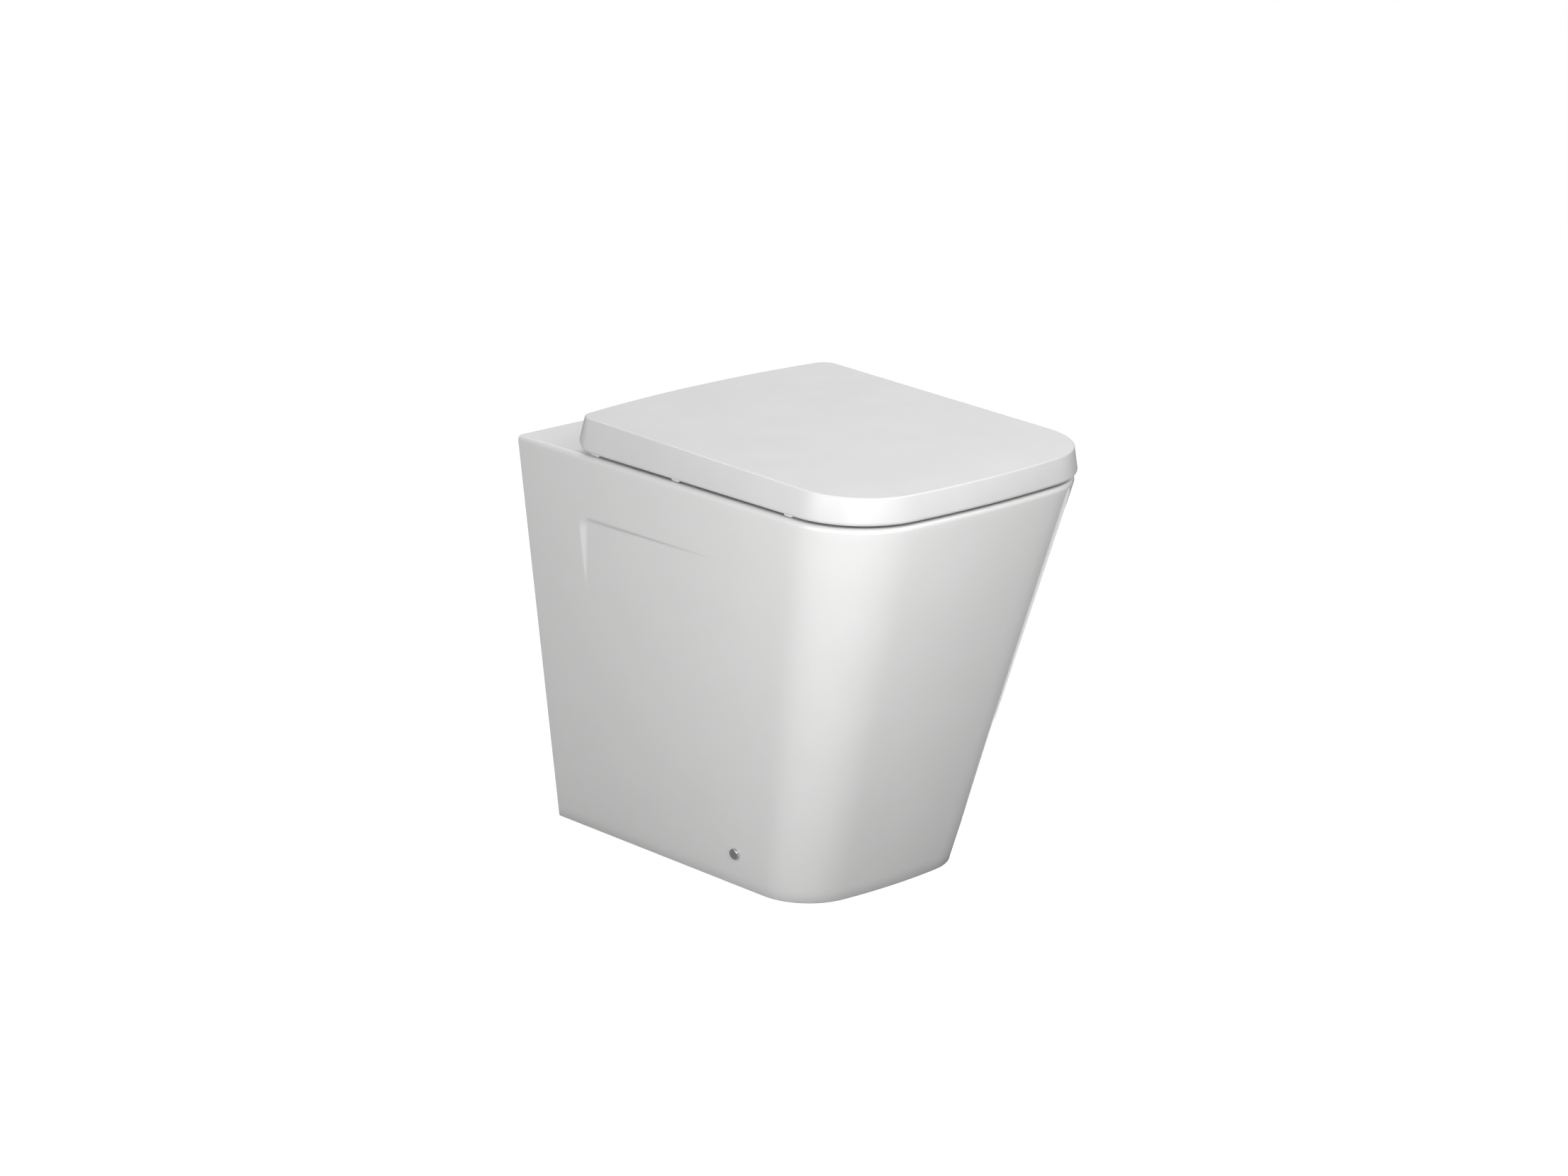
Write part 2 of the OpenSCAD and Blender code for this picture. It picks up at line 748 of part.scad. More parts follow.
module post_grub_screws() {
    color("dimgray") both_sides()
        translate([hinge_span / 2, -fixing_d - stud_r, grub_z]) rotate([90, 0, 0])
            cylinder(r = grub_r, h = grub_len - 1);
}

pin_half = post_half + arm_gap + damper_len;
module hinge_pins() {
    color("silver") both_sides() at_hinge() x_rod(pin_r, -pin_half, pin_half);
}

// An arm's barrel runs from x = near, beside the post, to x = far, and is bored
// for a damper that stops short of its closed outer end.
module arm_barrel(near, far) {
    at_hinge() x_rod(barrel_r, min(near, far), max(near, far));
}

module arm_bore(near, far) {
    way = far > near ? 1 : -1;
    ends = [near - way * past, near + way * (damper_len + fix_clear)];
    at_hinge() x_rod(damper_r + run_clear, min(ends), max(ends));
}

ring_z = pan_h + ring_gap;
ring_top = ring_z + ring_t;
arm_near = post_half + arm_gap;
arm_far = arm_near + arm_w;
ring_arm_under = ring_z - arm_t;
// height of the step where a ring arm meets the ring's rear edge
ring_arm_step = 2;

module ring_hinge_arms() {
    x0 = hinge_span / 2 - arm_far;
    x1 = hinge_span / 2 - arm_near;
    color("silver") both_sides() difference() {
        union() {
            side_plate([[arm_reach, ring_arm_under], [hinge_d + barrel_r * 2, ring_arm_under],
                [hinge_d, axis_z - barrel_r], [hinge_d, axis_z],
                [hinge_d + barrel_r, axis_z], [ring_back - rest_clear, ring_z + ring_arm_step],
                [ring_back - rest_clear, ring_z], [arm_reach, ring_z]], x0, x1);
            arm_barrel(-arm_near, -arm_far);
        }
        arm_bore(-arm_near, -arm_far);
        for (d = arm_screws_d)
            translate([(x0 + x1) / 2, -d, ring_arm_under - past])
                cylinder(r = arm_screw_r + fix_clear, h = arm_t + 2 * past);
    }
}

// The plate of a lid arm lies level, under bosses that reach down to it.
lid_foot_z = pan_h + lid_gap;
lid_arm_top = ring_top + 2 * arm_t;

module lid_hinge_arms() {
    x0 = hinge_span / 2 + arm_near;
    x1 = hinge_span / 2 + arm_far;
    color("silver") both_sides() difference() {
        union() {
            side_plate([[arm_reach, lid_arm_top - arm_t], [ring_back, lid_arm_top - arm_t],
                [hinge_d, axis_z - barrel_r / 2], [hinge_d, lid_arm_top],
                [arm_reach, lid_arm_top]], x0, x1);
            arm_barrel(arm_near, arm_far);
        }
        arm_bore(arm_near, arm_far);
        for (d = arm_screws_d)
            translate([(x0 + x1) / 2, -d, lid_arm_top - arm_t]) {
                translate([0, 0, -past])
                    cylinder(r = arm_screw_r + fix_clear, h = arm_t + 2 * past);
                translate([0, 0, -fix_clear])
                    cylinder(r1 = csk_r + fix_clear, r2 = arm_screw_r + fix_clear, h = csk_h);
            }
    }
}

module damper() {
    difference() {
        x_rod(damper_r, arm_near, arm_near + damper_len);
        x_rod(pin_r + run_clear, arm_near - past, arm_near + damper_len + past);
    }
}

module ring_dampers() {
    color("dimgray") both_sides() at_hinge() mirror([1, 0, 0]) damper();
}

module lid_dampers() {
    color("dimgray") both_sides() at_hinge() damper();
}

arm_screw_r = 2.2;
arm_head_r = 4;
arm_head_h = 2.4;
ring_screw_bite = 9;
csk_r = 4.4;
csk_h = 2.6;
lid_screw_bite = 3.5;

module ring_arm_screws() {
    x = hinge_span / 2 - (arm_near + arm_far) / 2;
    color("silver") both_sides() for (d = arm_screws_d)
        translate([x, -d, ring_arm_under]) {
            cylinder(r = arm_screw_r, h = arm_t + ring_screw_bite);
            translate([0, 0, -arm_head_h]) cylinder(r = arm_head_r, h = arm_head_h);
        }
}

module lid_arm_screws() {
    x = hinge_span / 2 + (arm_near + arm_far) / 2;
    color("silver") both_sides() for (d = arm_screws_d)
        translate([x, -d, lid_arm_top - arm_t]) {
            cylinder(r = arm_screw_r, h = arm_t + lid_screw_bite);
            cylinder(r1 = csk_r, r2 = arm_screw_r, h = csk_h);
        }
}

// ---- seat ring ----

lid_half_w = pan_w / 2;
ring_outer = [lid_half_w - lid_wall - ring_clear, pan_d - lid_setback - lid_wall - ring_clear,
    ring_back + ring_rear_bow, lid_bow, ring_rear_bow, lid_corner_r - lid_wall - ring_clear,
    ring_rear_r];
hole_front = mouth_front - hole_front_in;
ring_hole = [hole_half_w, hole_front, hole_back, hole_bow, hole_bow, hole_corner_r,
    hole_rear_r];
ring_edge_steps = 3;

// one rounded edge of the ring: a runs from the side's tangent to the face's
function ring_edge(s, out, r, z, up, i) =
    let (a = 90 * i / ring_edge_steps, by = out * r * (1 - cos(a)))
    at_height(outline(inset(s, by, by)), z - up * r * (1 - sin(a)));

ring_rings = concat(
    [for (i = [ring_edge_steps:-1:0]) ring_edge(ring_outer, 1, ring_foot_r, ring_z, -1, i)],
    [for (i = [0:ring_edge_steps]) ring_edge(ring_outer, 1, ring_edge_r, ring_top, 1, i)],
    [for (i = [ring_edge_steps:-1:0]) ring_edge(ring_hole, -1, ring_edge_r, ring_top, 1, i)],
    [for (i = [0:ring_edge_steps]) ring_edge(ring_hole, -1, ring_foot_r, ring_z, -1, i)]);

module seat_ring() {
    x = hinge_span / 2 - (arm_near + arm_far) / 2;
    color("white") difference() {
        loop_skin(ring_rings);
        both_sides() {
            for (d = arm_screws_d) translate([x, -d, ring_z - past])
                cylinder(r = arm_screw_r + fix_clear, h = ring_screw_bite + past + rest_clear);
            for (d = seat_buffers_d) translate([seat_buffer_x, -d, ring_z - past])
                cylinder(r = stem_r + fix_clear, h = stem_len + past + fix_clear);
        }
    }
}

stem_len = 4;
seat_buffer_x = ring_outer[0] - seat_buffer_in;
module seat_buffers() {
    color("whitesmoke") both_sides() for (d = seat_buffers_d)
        translate([seat_buffer_x, -d, pan_h + rest_clear]) {
            for (end = [-1, 1]) translate([0, end * (seat_buffer_len - seat_buffer_w) / 2, 0])
                cylinder(r = seat_buffer_w / 2, h = ring_gap - rest_clear);
            translate([-seat_buffer_w / 2, (seat_buffer_w - seat_buffer_len) / 2, 0])
                cube([seat_buffer_w, seat_buffer_len - seat_buffer_w, ring_gap - rest_clear]);
            cylinder(r = stem_r, h = ring_gap - rest_clear + stem_len);
        }
}

// ---- lid ----

lid_foot = [lid_half_w, pan_d - lid_setback, lid_back, lid_bow, lid_rear_bow, lid_corner_r,
    lid_rear_r];
lid_head = [lid_half_w - lid_draft, pan_d - lid_setback - lid_front_draft,
    lid_back + lid_rear_draft, lid_bow, lid_rear_bow, lid_corner_r - lid_draft,
    lid_rear_r - lid_draft];

// height of the lid's sloping top, at a distance d from the wall
function lid_top_z(d) =
    lid_foot_z + lid_h + lid_rise * (lid_head[1] - d) / (lid_head[1] - lid_head[2]);

function under_top(points, drop) = [for (p = points) [p.x, p.y, lid_top_z(-p.y) - drop]];

lid_edge_steps = 3;
lid_rings = concat(
    [for (i = [0:lid_edge_steps])
        let (a = 90 * i / lid_edge_steps, by = lid_foot_r * (1 - sin(a)))
        at_height(outline(inset(lid_foot, by, by)), lid_foot_z + lid_foot_r * (1 - cos(a)))],
    [for (i = [0:lid_edge_steps])
        let (a = 90 * i / lid_edge_steps, by = lid_top_r * (1 - cos(a)))
        under_top(outline(inset(lid_head, by, by)), lid_top_r * (1 - sin(a)))]);

lid_cavity_rings = [
    at_height(outline(inset(lid_foot, lid_wall, lid_wall)), lid_foot_z - past),
    under_top(outline(inset(lid_head, lid_wall, lid_wall)), lid_top_t)];

lid_boss_r = 6;
lid_stem_len = 1.8;
function lid_under_z(d) = lid_top_z(d) - lid_top_t;

module lid_shell() {
    difference() {
        skin(lid_rings);
        skin(lid_cavity_rings);
    }
}

module lid() {
    x = hinge_span / 2 + (arm_near + arm_far) / 2;
    notch_over = 2;
    notch_depth = lid_wall + lid_rear_bow + 3 * notch_over;
    color("white") difference() {
        union() {
            resize([0, 0, 0]) lid_shell();
            both_sides() for (d = arm_screws_d) translate([x, -d, lid_arm_top])
                cylinder(r = lid_boss_r, h = lid_under_z(d) - lid_arm_top + past);
        }
        translate([-lid_notch_half_w, -lid_back - lid_wall - notch_over, lid_foot_z - past])
            cube([2 * lid_notch_half_w, notch_depth,
                lid_under_z(hinge_d) - lid_foot_z + past]);
        both_sides() {
            for (d = arm_screws_d) translate([x, -d, lid_arm_top - past])
                cylinder(r = arm_screw_r + fix_clear, h = lid_screw_bite + past + rest_clear);
            for (at = lid_buffers_at) translate([at[0], -at[1], lid_under_z(at[1]) - past])
                cylinder(r = stem_r + fix_clear, h = lid_stem_len + past + fix_clear);
        }
    }
}

module lid_buffers() {
    color("whitesmoke") both_sides() for (at = lid_buffers_at)
        translate([at[0], -at[1], ring_top + rest_clear]) {
            // the top stops at the lower edge of the sloping lid above it
            body = lid_under_z(at[1] + lid_buffer_r) - ring_top - rest_clear;
            cylinder(r = lid_buffer_r, h = body);
            cylinder(r = stem_r, h = lid_under_z(at[1]) - ring_top - rest_clear + lid_stem_len);
        }
}

pan_skirt();
pan_bowl();
pan_trapway();
pan_inlet();
floor_brackets();
side_screws();
side_screw_sleeves();
side_screw_caps();
deck_gaskets();
hinge_base_plates();
hinge_studs();
expansion_bushes();
clamp_washers();
clamp_nuts();
hinge_posts();
post_grub_screws();
hinge_pins();
seat_ring();
ring_hinge_arms();
ring_dampers();
ring_arm_screws();
seat_buffers();
lid();
lid_hinge_arms();
lid_dampers();
lid_arm_screws();
lid_buffers();
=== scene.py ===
# %% [markdown]
# # Back to wall toilet
# A china pan stands on the floor with its back to a wall. Its sides and front
# taper down to a small foot, so from above it looks like a soft square and from
# the front like a tall cup. A wrap-over lid and a seat ring turn on one pair of
# metal hinges at the back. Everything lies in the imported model's own frame: the
# wall is y = 0, the floor is z = 0, and the pan points to -Y. Lengths are in
# metres, and `mm` and `MM` turn a drawing's millimetres into them.

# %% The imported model
import math
from collections import namedtuple

import bmesh
import bpy
from mathutils import Matrix, Vector


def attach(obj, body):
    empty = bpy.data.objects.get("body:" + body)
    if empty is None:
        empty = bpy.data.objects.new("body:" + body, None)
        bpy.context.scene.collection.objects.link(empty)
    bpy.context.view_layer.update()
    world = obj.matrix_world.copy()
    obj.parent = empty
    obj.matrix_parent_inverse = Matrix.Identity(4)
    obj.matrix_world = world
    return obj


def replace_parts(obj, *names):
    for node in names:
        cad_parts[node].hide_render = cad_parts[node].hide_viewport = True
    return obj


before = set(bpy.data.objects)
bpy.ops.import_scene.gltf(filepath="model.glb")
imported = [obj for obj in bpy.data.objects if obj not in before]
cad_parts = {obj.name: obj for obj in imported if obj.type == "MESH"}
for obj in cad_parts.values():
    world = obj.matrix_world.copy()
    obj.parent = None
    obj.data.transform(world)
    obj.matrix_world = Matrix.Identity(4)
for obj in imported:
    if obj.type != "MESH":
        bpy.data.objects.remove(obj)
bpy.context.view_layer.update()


def new_object(name, data):
    obj = bpy.data.objects.new(name, data)
    bpy.context.scene.collection.objects.link(obj)
    return obj


# %% [markdown]
# ## The camera
# The photograph was taken from the front left with a long lens, a little above
# the lid. The place, turn and lens below were found by laying the known corners
# of the pan and lid over it, so the render frames the object the same way.

# %% Camera
PHOTO_WIDTH = 2212
FOCAL_PX = 6604.14
SENSOR = 36.0
CAMERA_AT = Vector((-3.1117, -3.4670, 1.6654))
YAW, PITCH, ROLL = 43.682, 17.176, 0.9775

camera = new_object("studio_camera", bpy.data.cameras.new("studio_camera"))
camera.data.sensor_width = SENSOR
camera.data.lens = FOCAL_PX * SENSOR / PHOTO_WIDTH
stand = Matrix.Translation(CAMERA_AT)
for degrees, axis in ((-YAW, "Z"), (90 - PITCH, "X"), (ROLL, "Z")):
    stand = stand @ Matrix.Rotation(math.radians(degrees), 4, axis)
camera.matrix_world = stand
bpy.context.scene.camera = camera
print("lens", round(camera.data.lens, 2), "mm")

# %% [markdown]
# ## Sizes
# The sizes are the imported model's own, so a dressed piece lies where its solid
# lies. A soft-square outline is half a width, a front and a back counted from
# the wall, how far each end bows out, and two corner radii.

# %% Sizes
MM = 0.001
SIDES = (-1, 1)
Square = namedtuple("Square", "half_w front back front_bow back_bow front_r back_r")


def mm(*sizes):
    """Millimetres as metres."""
    return [v * MM for v in sizes]


RIM_Z, RIM_R, DECK_T, WALL = mm(420, 6, 12, 9)
FLANGE_T, FLANGE_W = mm(14, 24)
FOOT = Square(*mm(118.5, 362, 0, 11, 0, 59, 1.5))
RIM = Square(*mm(175, 480, 0, 12, 0, 85, 1.5))
MOUTH = Square(*mm(134, 440, 172, 12, 12, 76, 76))
WATER = Square(*mm(48, 330, 240, 4, 4, 40, 40))
MOUTH_R, BOWL_DEPTH, SUMP_DEPTH = mm(7, 205, 105)
BOWL_CURVE = 2.4
LID_FOOT = Square(*mm(175, 479.5, 84.5, 14, 12, 83, 22))
LID_HEAD = Square(*mm(170, 477, 89, 14, 12, 78, 17))
LID_FOOT_Z, LID_SIDE, LID_RISE, LID_WALL, LID_TOP_T = mm(423, 27, 7.5, 5, 4)
RING_Z, RING_T = mm(428, 14)
RING_OUT = Square(*mm(163, 467.5, 110, 14, 4, 71, 26))
RING_IN = Square(*mm(112, 418, 168, 9, 9, 80, 68))
AXIS = Vector(mm(0, -80, 446))
HINGE_X, FIXING_Y = mm(77.5, -92)
SIDE_FIX = mm(274.5, 36.5)
OUTLET_Z, INLET_Z = mm(185, 345)
print("rim at", RIM_Z, "m, ring at", RING_Z, "m, lid's foot at", LID_FOOT_Z, "m")


def lerp(a, b, t):
    return a + (b - a) * t


def blend_square(a, b, t):
    return Square(*(lerp(p, q, t) for p, q in zip(a, b)))


def inset(s, by, by_back=None):
    by_back = by if by_back is None else by_back
    return Square(s.half_w - by, s.front - by, s.back + by_back, s.front_bow, s.back_bow,
                  max(s.front_r - by, 0.2 * MM), max(s.back_r - min(by, by_back), 0.2 * MM))


def pan_square(z):
    return blend_square(FOOT, RIM, z / RIM_Z)


# %% [markdown]
# ## Outlines and skins
# An outline is a closed loop of points, always in the same order, so a stack of
# outlines can be joined by plain quads into a smooth skin. `marks` adds points on
# the straight sides, where the pan's side needs them for its recess.

# %% Outlines
def arc(cx, cy, r, start, stop, n):
    steps = [math.radians(lerp(start, stop, i / n)) for i in range(n + 1)]
    return [(cx + r * math.cos(a), cy + r * math.sin(a)) for a in steps]


def rounded(r, steps):
    """(inset, drop) pairs along a quarter round of radius r."""
    for i in range(steps + 1):
        a = math.radians(90 * (i / steps))
        yield r * (1 - math.cos(a)), r * (1 - math.sin(a))


def rising(r, steps):
    """The same round from its other end."""
    return list(rounded(r, steps))[::-1]


def half_end(half_w, end, bow, r, corner_n, end_n):
    """From a side's tangent point round one corner to the middle of the end."""
    if bow <= 0:
        across = [((half_w - r) * (1 - i / end_n), end) for i in range(1, end_n + 1)]
        return arc(half_w - r, end - r, r, 0, 90, corner_n) + across
    big = (half_w ** 2 + bow ** 2) / (2 * bow)
    middle = end + bow - big
    corner_y = middle + math.sqrt((big - r) ** 2 - (half_w - r) ** 2)
    turn = math.degrees(math.atan2(corner_y - middle, half_w - r))
    return (arc(half_w - r, corner_y, r, 0, turn, corner_n)
            + arc(0, middle, big, turn, 90, end_n)[1:])


def outline(s, z, corner_n=14, end_n=9, side_n=8, marks=()):
    """A soft-square loop at height z, counter-clockwise seen from above."""
    back = half_end(s.half_w, -s.back, s.back_bow, s.back_r, corner_n, end_n)
    front = [(x, -y) for x, y in half_end(s.half_w, s.front, s.front_bow, s.front_r,
                                          corner_n, end_n)]
    last = marks[-1] if marks else back[0][1]
    side = list(marks) + [lerp(last, front[0][1], i / side_n) for i in range(1, side_n)]
    flat = (back + [(-x, y) for x, y in reversed(back[:-1])] + [(-s.half_w, y) for y in side]
            + [(-x, y) for x, y in front] + list(reversed(front[:-1]))
            + [(s.half_w, y) for y in reversed(side)])
    return [Vector((x, y, z)) for x, y in flat]


# %% Meshes
def mesh_object(name, verts, faces):
    mesh = bpy.data.meshes.new(name)
    mesh.from_pydata(verts, [], faces)
    mesh.validate()
    return new_object(name, mesh)


def skin(name, rings, closed=False):
    """Joins loops of points into a solid; closed joins the last loop to the first."""
    n, count = len(rings[0]), len(rings)
    pairs = [(k, (k + 1) % count) for k in range(count if closed else count - 1)]
    faces = [(low * n + i, low * n + (i + 1) % n, high * n + (i + 1) % n, high * n + i)
             for low, high in pairs for i in range(n)]
    if not closed:
        faces += [tuple(reversed(range(n))), tuple(range((count - 1) * n, count * n))]
    return mesh_object(name, [p for r in rings for p in r], faces)


def bake(obj):
    """Applies an object's modifiers to its mesh."""
    seen = bpy.context.evaluated_depsgraph_get()
    mesh = bpy.data.meshes.new_from_object(obj.evaluated_get(seen))
    old = obj.data
    obj.modifiers.clear()
    obj.data = mesh
    mesh.name = obj.name
    bpy.data.meshes.remove(old)
    return obj


def drop(*objs):
    for obj in objs:
        mesh = obj.data
        bpy.data.objects.remove(obj)
        bpy.data.meshes.remove(mesh)


def carve(obj, *tools, how="DIFFERENCE"):
    """Cuts each tool out of obj, or joins it on, and deletes the tools."""
    for tool in tools:
        mod = obj.modifiers.new("carve", "BOOLEAN")
        mod.operation, mod.solver, mod.object = how, "EXACT", tool
        mod.material_mode = "TRANSFER"
        bake(obj)
    drop(*tools)
    return obj


def smooth(obj, sharp=32):
    for face in obj.data.polygons:
        face.use_smooth = True
    obj.data.set_sharp_from_angle(angle=math.radians(sharp))
    return obj


def tally(obj):
    obj.data.calc_loop_triangles()
    print(obj.name, len(obj.data.loop_triangles), "triangles")
    return obj


def frame_of(origin, axis):
    """A placement whose +Z points along axis."""
    turn = Vector(axis).normalized().to_track_quat("Z", "Y").to_matrix().to_4x4()
    return Matrix.Translation(origin) @ turn


def turned(name, profile, place=Matrix(), segments=48, unit=MM):
    """A turned piece: its profile is (radius, height) pairs round the place's +Z."""
    rings, verts, faces = [], [], []
    profile = [(r * unit, h * unit) for r, h in profile]
    for r, h in profile:
        if r < 1e-7:
            rings.append([len(verts)])
            verts.append(place @ Vector((0, 0, h)))
            continue
        rings.append(list(range(len(verts), len(verts) + segments)))
        verts += [place @ Vector((r * math.cos(a), r * math.sin(a), h))
                  for a in (2 * math.pi * i / segments for i in range(segments))]
    around = list(zip(rings, rings[1:]))
    if profile[0][0] > 1e-7 and profile[-1][0] > 1e-7:
        around.append((rings[-1], rings[0]))
    for low, high in around:
        for i in range(segments):
            j = (i + 1) % segments
            corners = [low[i % len(low)], low[j % len(low)], high[j % len(high)],
                       high[i % len(high)]]
            faces.append(tuple(dict.fromkeys(corners)))
    return mesh_object(name, verts, faces)


print("pan outline has", len(outline(RIM, RIM_Z)), "points without its marks")

# %% [markdown]
# ## Finishes
# Each finish is one principled shader with noise on the piece's own coordinates.
# The noise moves the colour a little, makes some spots duller than others, and
# raises a bump, because no glazed, moulded or plated face is the same all over.
# A value that doesn't change sits on the shader's own socket.

# %% Helpers for the finishes
def add(tree, kind, sockets, out=0, **settings):
    """Adds a node. A socket, or a list of them, is linked; a plain value is set."""
    node = tree.nodes.new(kind)
    for name, value in settings.items():
        setattr(node, name, value)
    for name, value in sockets.items():
        for one in value if isinstance(value, list) else [value]:
            if isinstance(one, bpy.types.NodeSocket):
                tree.links.new(one, node.inputs[name])
            else:
                node.inputs[name].default_value = one
    return node.outputs[out] if node.outputs else node


def cloud(tree, size, detail=2.0, stretch=(1, 1, 1)):
    """Cloudy noise whose spots are about `size` millimetres across."""
    place = add(tree, "ShaderNodeTexCoord", {}, "Object")
    grid = add(tree, "ShaderNodeMapping", {"Vector": place, "Scale": stretch})
    return add(tree, "ShaderNodeTexNoise",
               {"Vector": grid, "Scale": 1 / (size * MM), "Detail": detail})


def finish(name, colour, roughness, *bumps, coated=False, **values):
    """A principled finish. The colour wanders between two tones by a cloud, and so does
    the roughness; each bump is a cloud and its height; values go to their sockets."""
    mat = bpy.data.materials.new(name)
    mat.use_nodes = True
    tree = mat.node_tree
    shader = tree.nodes["Principled BSDF"]
    for socket, value in values.items():
        shader.inputs[socket.replace("_", " ")].default_value = value
    spots, *tones = colour
    ramp = add(tree, "ShaderNodeValToRGB", {"Fac": cloud(tree, *spots)})
    for stop, at, tone in zip(ramp.node.color_ramp.elements, (0.3, 0.7), tones):
        stop.position, stop.color = at, (*tone, 1)
    tree.links.new(ramp, shader.inputs["Base Color"])
    if roughness:
        spots, low, high = roughness
        tree.links.new(add(tree, "ShaderNodeMapRange", {
            "Value": cloud(tree, *spots), "From Min": 0.3, "From Max": 0.7, "To Min": low,
            "To Max": high}), shader.inputs["Roughness"])
    below = {}
    for spots, height in bumps:
        below["Normal"] = add(tree, "ShaderNodeBump", {
            "Height": cloud(tree, *spots), "Distance": height * MM, **below})
        tree.links.new(below["Normal"], shader.inputs["Normal"])
    if coated:
        tree.links.new(below["Normal"], shader.inputs["Coat Normal"])
    return mat


def grey(value):
    return (value, value, value)


# %% China, bare clay and seat plastic
glaze = finish("glazed_china", ((60, 3), (0.835, 0.835, 0.83), (0.848, 0.848, 0.843)),
               ((25,), 0.32, 0.38), ((90, 1), 0.15), ((4,), 0.006), coated=True,
               IOR=1.5, Coat_Weight=0.8, Coat_Roughness=0.04)
clay = finish("bare_fired_clay", ((14, 5), (0.60, 0.57, 0.52), (0.70, 0.68, 0.64)),
              ((3,), 0.8, 0.95), ((30, 3), 0.4), ((0.8, 3), 0.06))
seat_plastic = finish("seat_thermoset", ((55, 4), grey(0.74), grey(0.768)),
                      ((30,), 0.32, 0.4), ((70, 1), 0.2), ((1.5,), 0.004), coated=True,
                      IOR=1.52, Coat_Weight=0.15, Coat_Roughness=0.28)

# %% Metals
hinge_metal = finish("satin_hinge_metal", ((8, 3), (0.56, 0.56, 0.57), (0.66, 0.66, 0.67)),
                     ((2, 3, (12, 1, 1)), 0.24, 0.38), ((1.2, 2, (16, 1, 1)), 0.006),
                     Metallic=1.0)
steel = finish("zinc_plated_steel", ((3, 3), (0.46, 0.47, 0.50), (0.63, 0.63, 0.60)),
               ((1.5, 3), 0.26, 0.44), ((0.5, 2), 0.008), Metallic=1.0)
chrome = finish("polished_chrome", ((5,), (0.60, 0.60, 0.61), (0.66, 0.66, 0.67)),
                ((2,), 0.05, 0.1), ((3, 1), 0.004), Metallic=1.0)

# %% Rubber and moulded plastics
rubber = finish("black_rubber", ((4, 3), grey(0.018), (0.035, 0.035, 0.036)),
                ((2,), 0.6, 0.8), ((0.7, 3), 0.03), IOR=1.5)
nylon = finish("black_nylon", ((12, 4), (0.012, 0.012, 0.013), (0.022, 0.022, 0.024)),
               ((6, 3), 0.42, 0.6), ((0.9, 3), 0.03), IOR=1.5)
damper_nylon = finish("grey_nylon", ((5, 3), (0.045, 0.045, 0.048), (0.065, 0.065, 0.07)),
                      ((3,), 0.35, 0.5), ((0.8, 2), 0.01), IOR=1.5)
soft = finish("soft_clear_plastic", ((6, 3), (0.72, 0.72, 0.70), (0.80, 0.80, 0.78)),
              ((3,), 0.3, 0.45), ((1, 2), 0.01), IOR=1.45, Subsurface_Weight=0.4,
              Subsurface_Radius=grey(0.004))


def dress(obj, mat, sharp=30):
    """Gives the whole piece one finish and smooth shading between its sharp edges."""
    obj.data.materials.clear()
    obj.data.materials.append(mat)
    for face in obj.data.polygons:
        face.material_index = 0
    return tally(smooth(obj, sharp))


print(len(bpy.data.materials), "finishes")

# %% [markdown]
# ## The pan's glazed skin
# Slip-cast china has no sharp edges: the glaze rounds every rim. One skin runs
# from the foot up the tapering sides, over the rounded rim, across the deck, down
# through the bowl and into the sump. It is all quads, so reflections slide
# over it without kinks. The shallow recess near the wall is pressed into the same
# quads, which stand close together where its edges turn.

# %% The recess in the pan's side
RECESS_BACK, RECESS_LEN, RECESS_TOP, RECESS_LEG = mm(84, 201, 353, 76)
RECESS_DEPTH, RECESS_R, REAR_BEVEL, TOP_BEVEL, SOFTEN = mm(4, 16, 8, 6, 0.9)


def smooth_min(a, b, k):
    h = max(k - abs(a - b), 0) / k
    return min(a, b) - h * h * k / 4


def recess_depth(y, z):
    """How far the recess presses the side in, at a place on it."""
    u, v = -y - RECESS_BACK, RECESS_TOP - z
    floor = RECESS_DEPTH * (1 - u / RECESS_LEN - v / RECESS_LEG)
    if floor < -SOFTEN:
        return 0.0
    du, dv = max(RECESS_R - u, 0.0), max(RECESS_R - v, 0.0)
    if du > 0 and dv > 0:
        inside = RECESS_R - math.hypot(du, dv)
        toward_top = math.atan2(dv, du) / (math.pi / 2)
    else:
        inside, toward_top = (u, 0.0) if u < v else (v, 1.0)
    edge = inside * RECESS_DEPTH / lerp(REAR_BEVEL, TOP_BEVEL, toward_top)
    return -smooth_min(0.0, -smooth_min(floor, edge, SOFTEN), SOFTEN * 0.6)


# %% Skin of the pan
def spaced(*stops_and_steps):
    """Marks from stop to stop; each stop is followed by the step used after it."""
    marks = []
    for start, step, stop in zip(stops_and_steps[::2], stops_and_steps[1::2],
                                 stops_and_steps[2::2]):
        n = max(1, round(abs(stop - start) / step))
        marks += [lerp(start, stop, i / n) for i in range(n)]
    return marks


SIDE_MARKS = [-y * MM for y in spaced(6, 10, 76, 1, 106, 6, 300)]
SIDE_LEVELS = mm(*spaced(1.2, 12, 255, 4, 332, 0.9, 358, 6, 414))
FOOT_R = 1.2 * MM
REAR_EASE = 1 / 3
WATER_Z = RIM_Z - BOWL_DEPTH
SUMP_TAPER, SUMP_R = mm(10, 14)


def pan_loop(z, by=0.0):
    points = outline(inset(pan_square(z), by, REAR_EASE * by), z, marks=SIDE_MARKS)
    for p in points:
        if abs(p.x) > pan_square(z).half_w - by - 1e-6:
            p.x -= math.copysign(recess_depth(p.y, p.z), p.x)
    return points


def mouth_loop(s, z):
    return outline(s, z, side_n=8 + len(SIDE_MARKS))


def bowl_square(depth):
    return blend_square(MOUTH, WATER, (depth / BOWL_DEPTH) ** BOWL_CURVE)


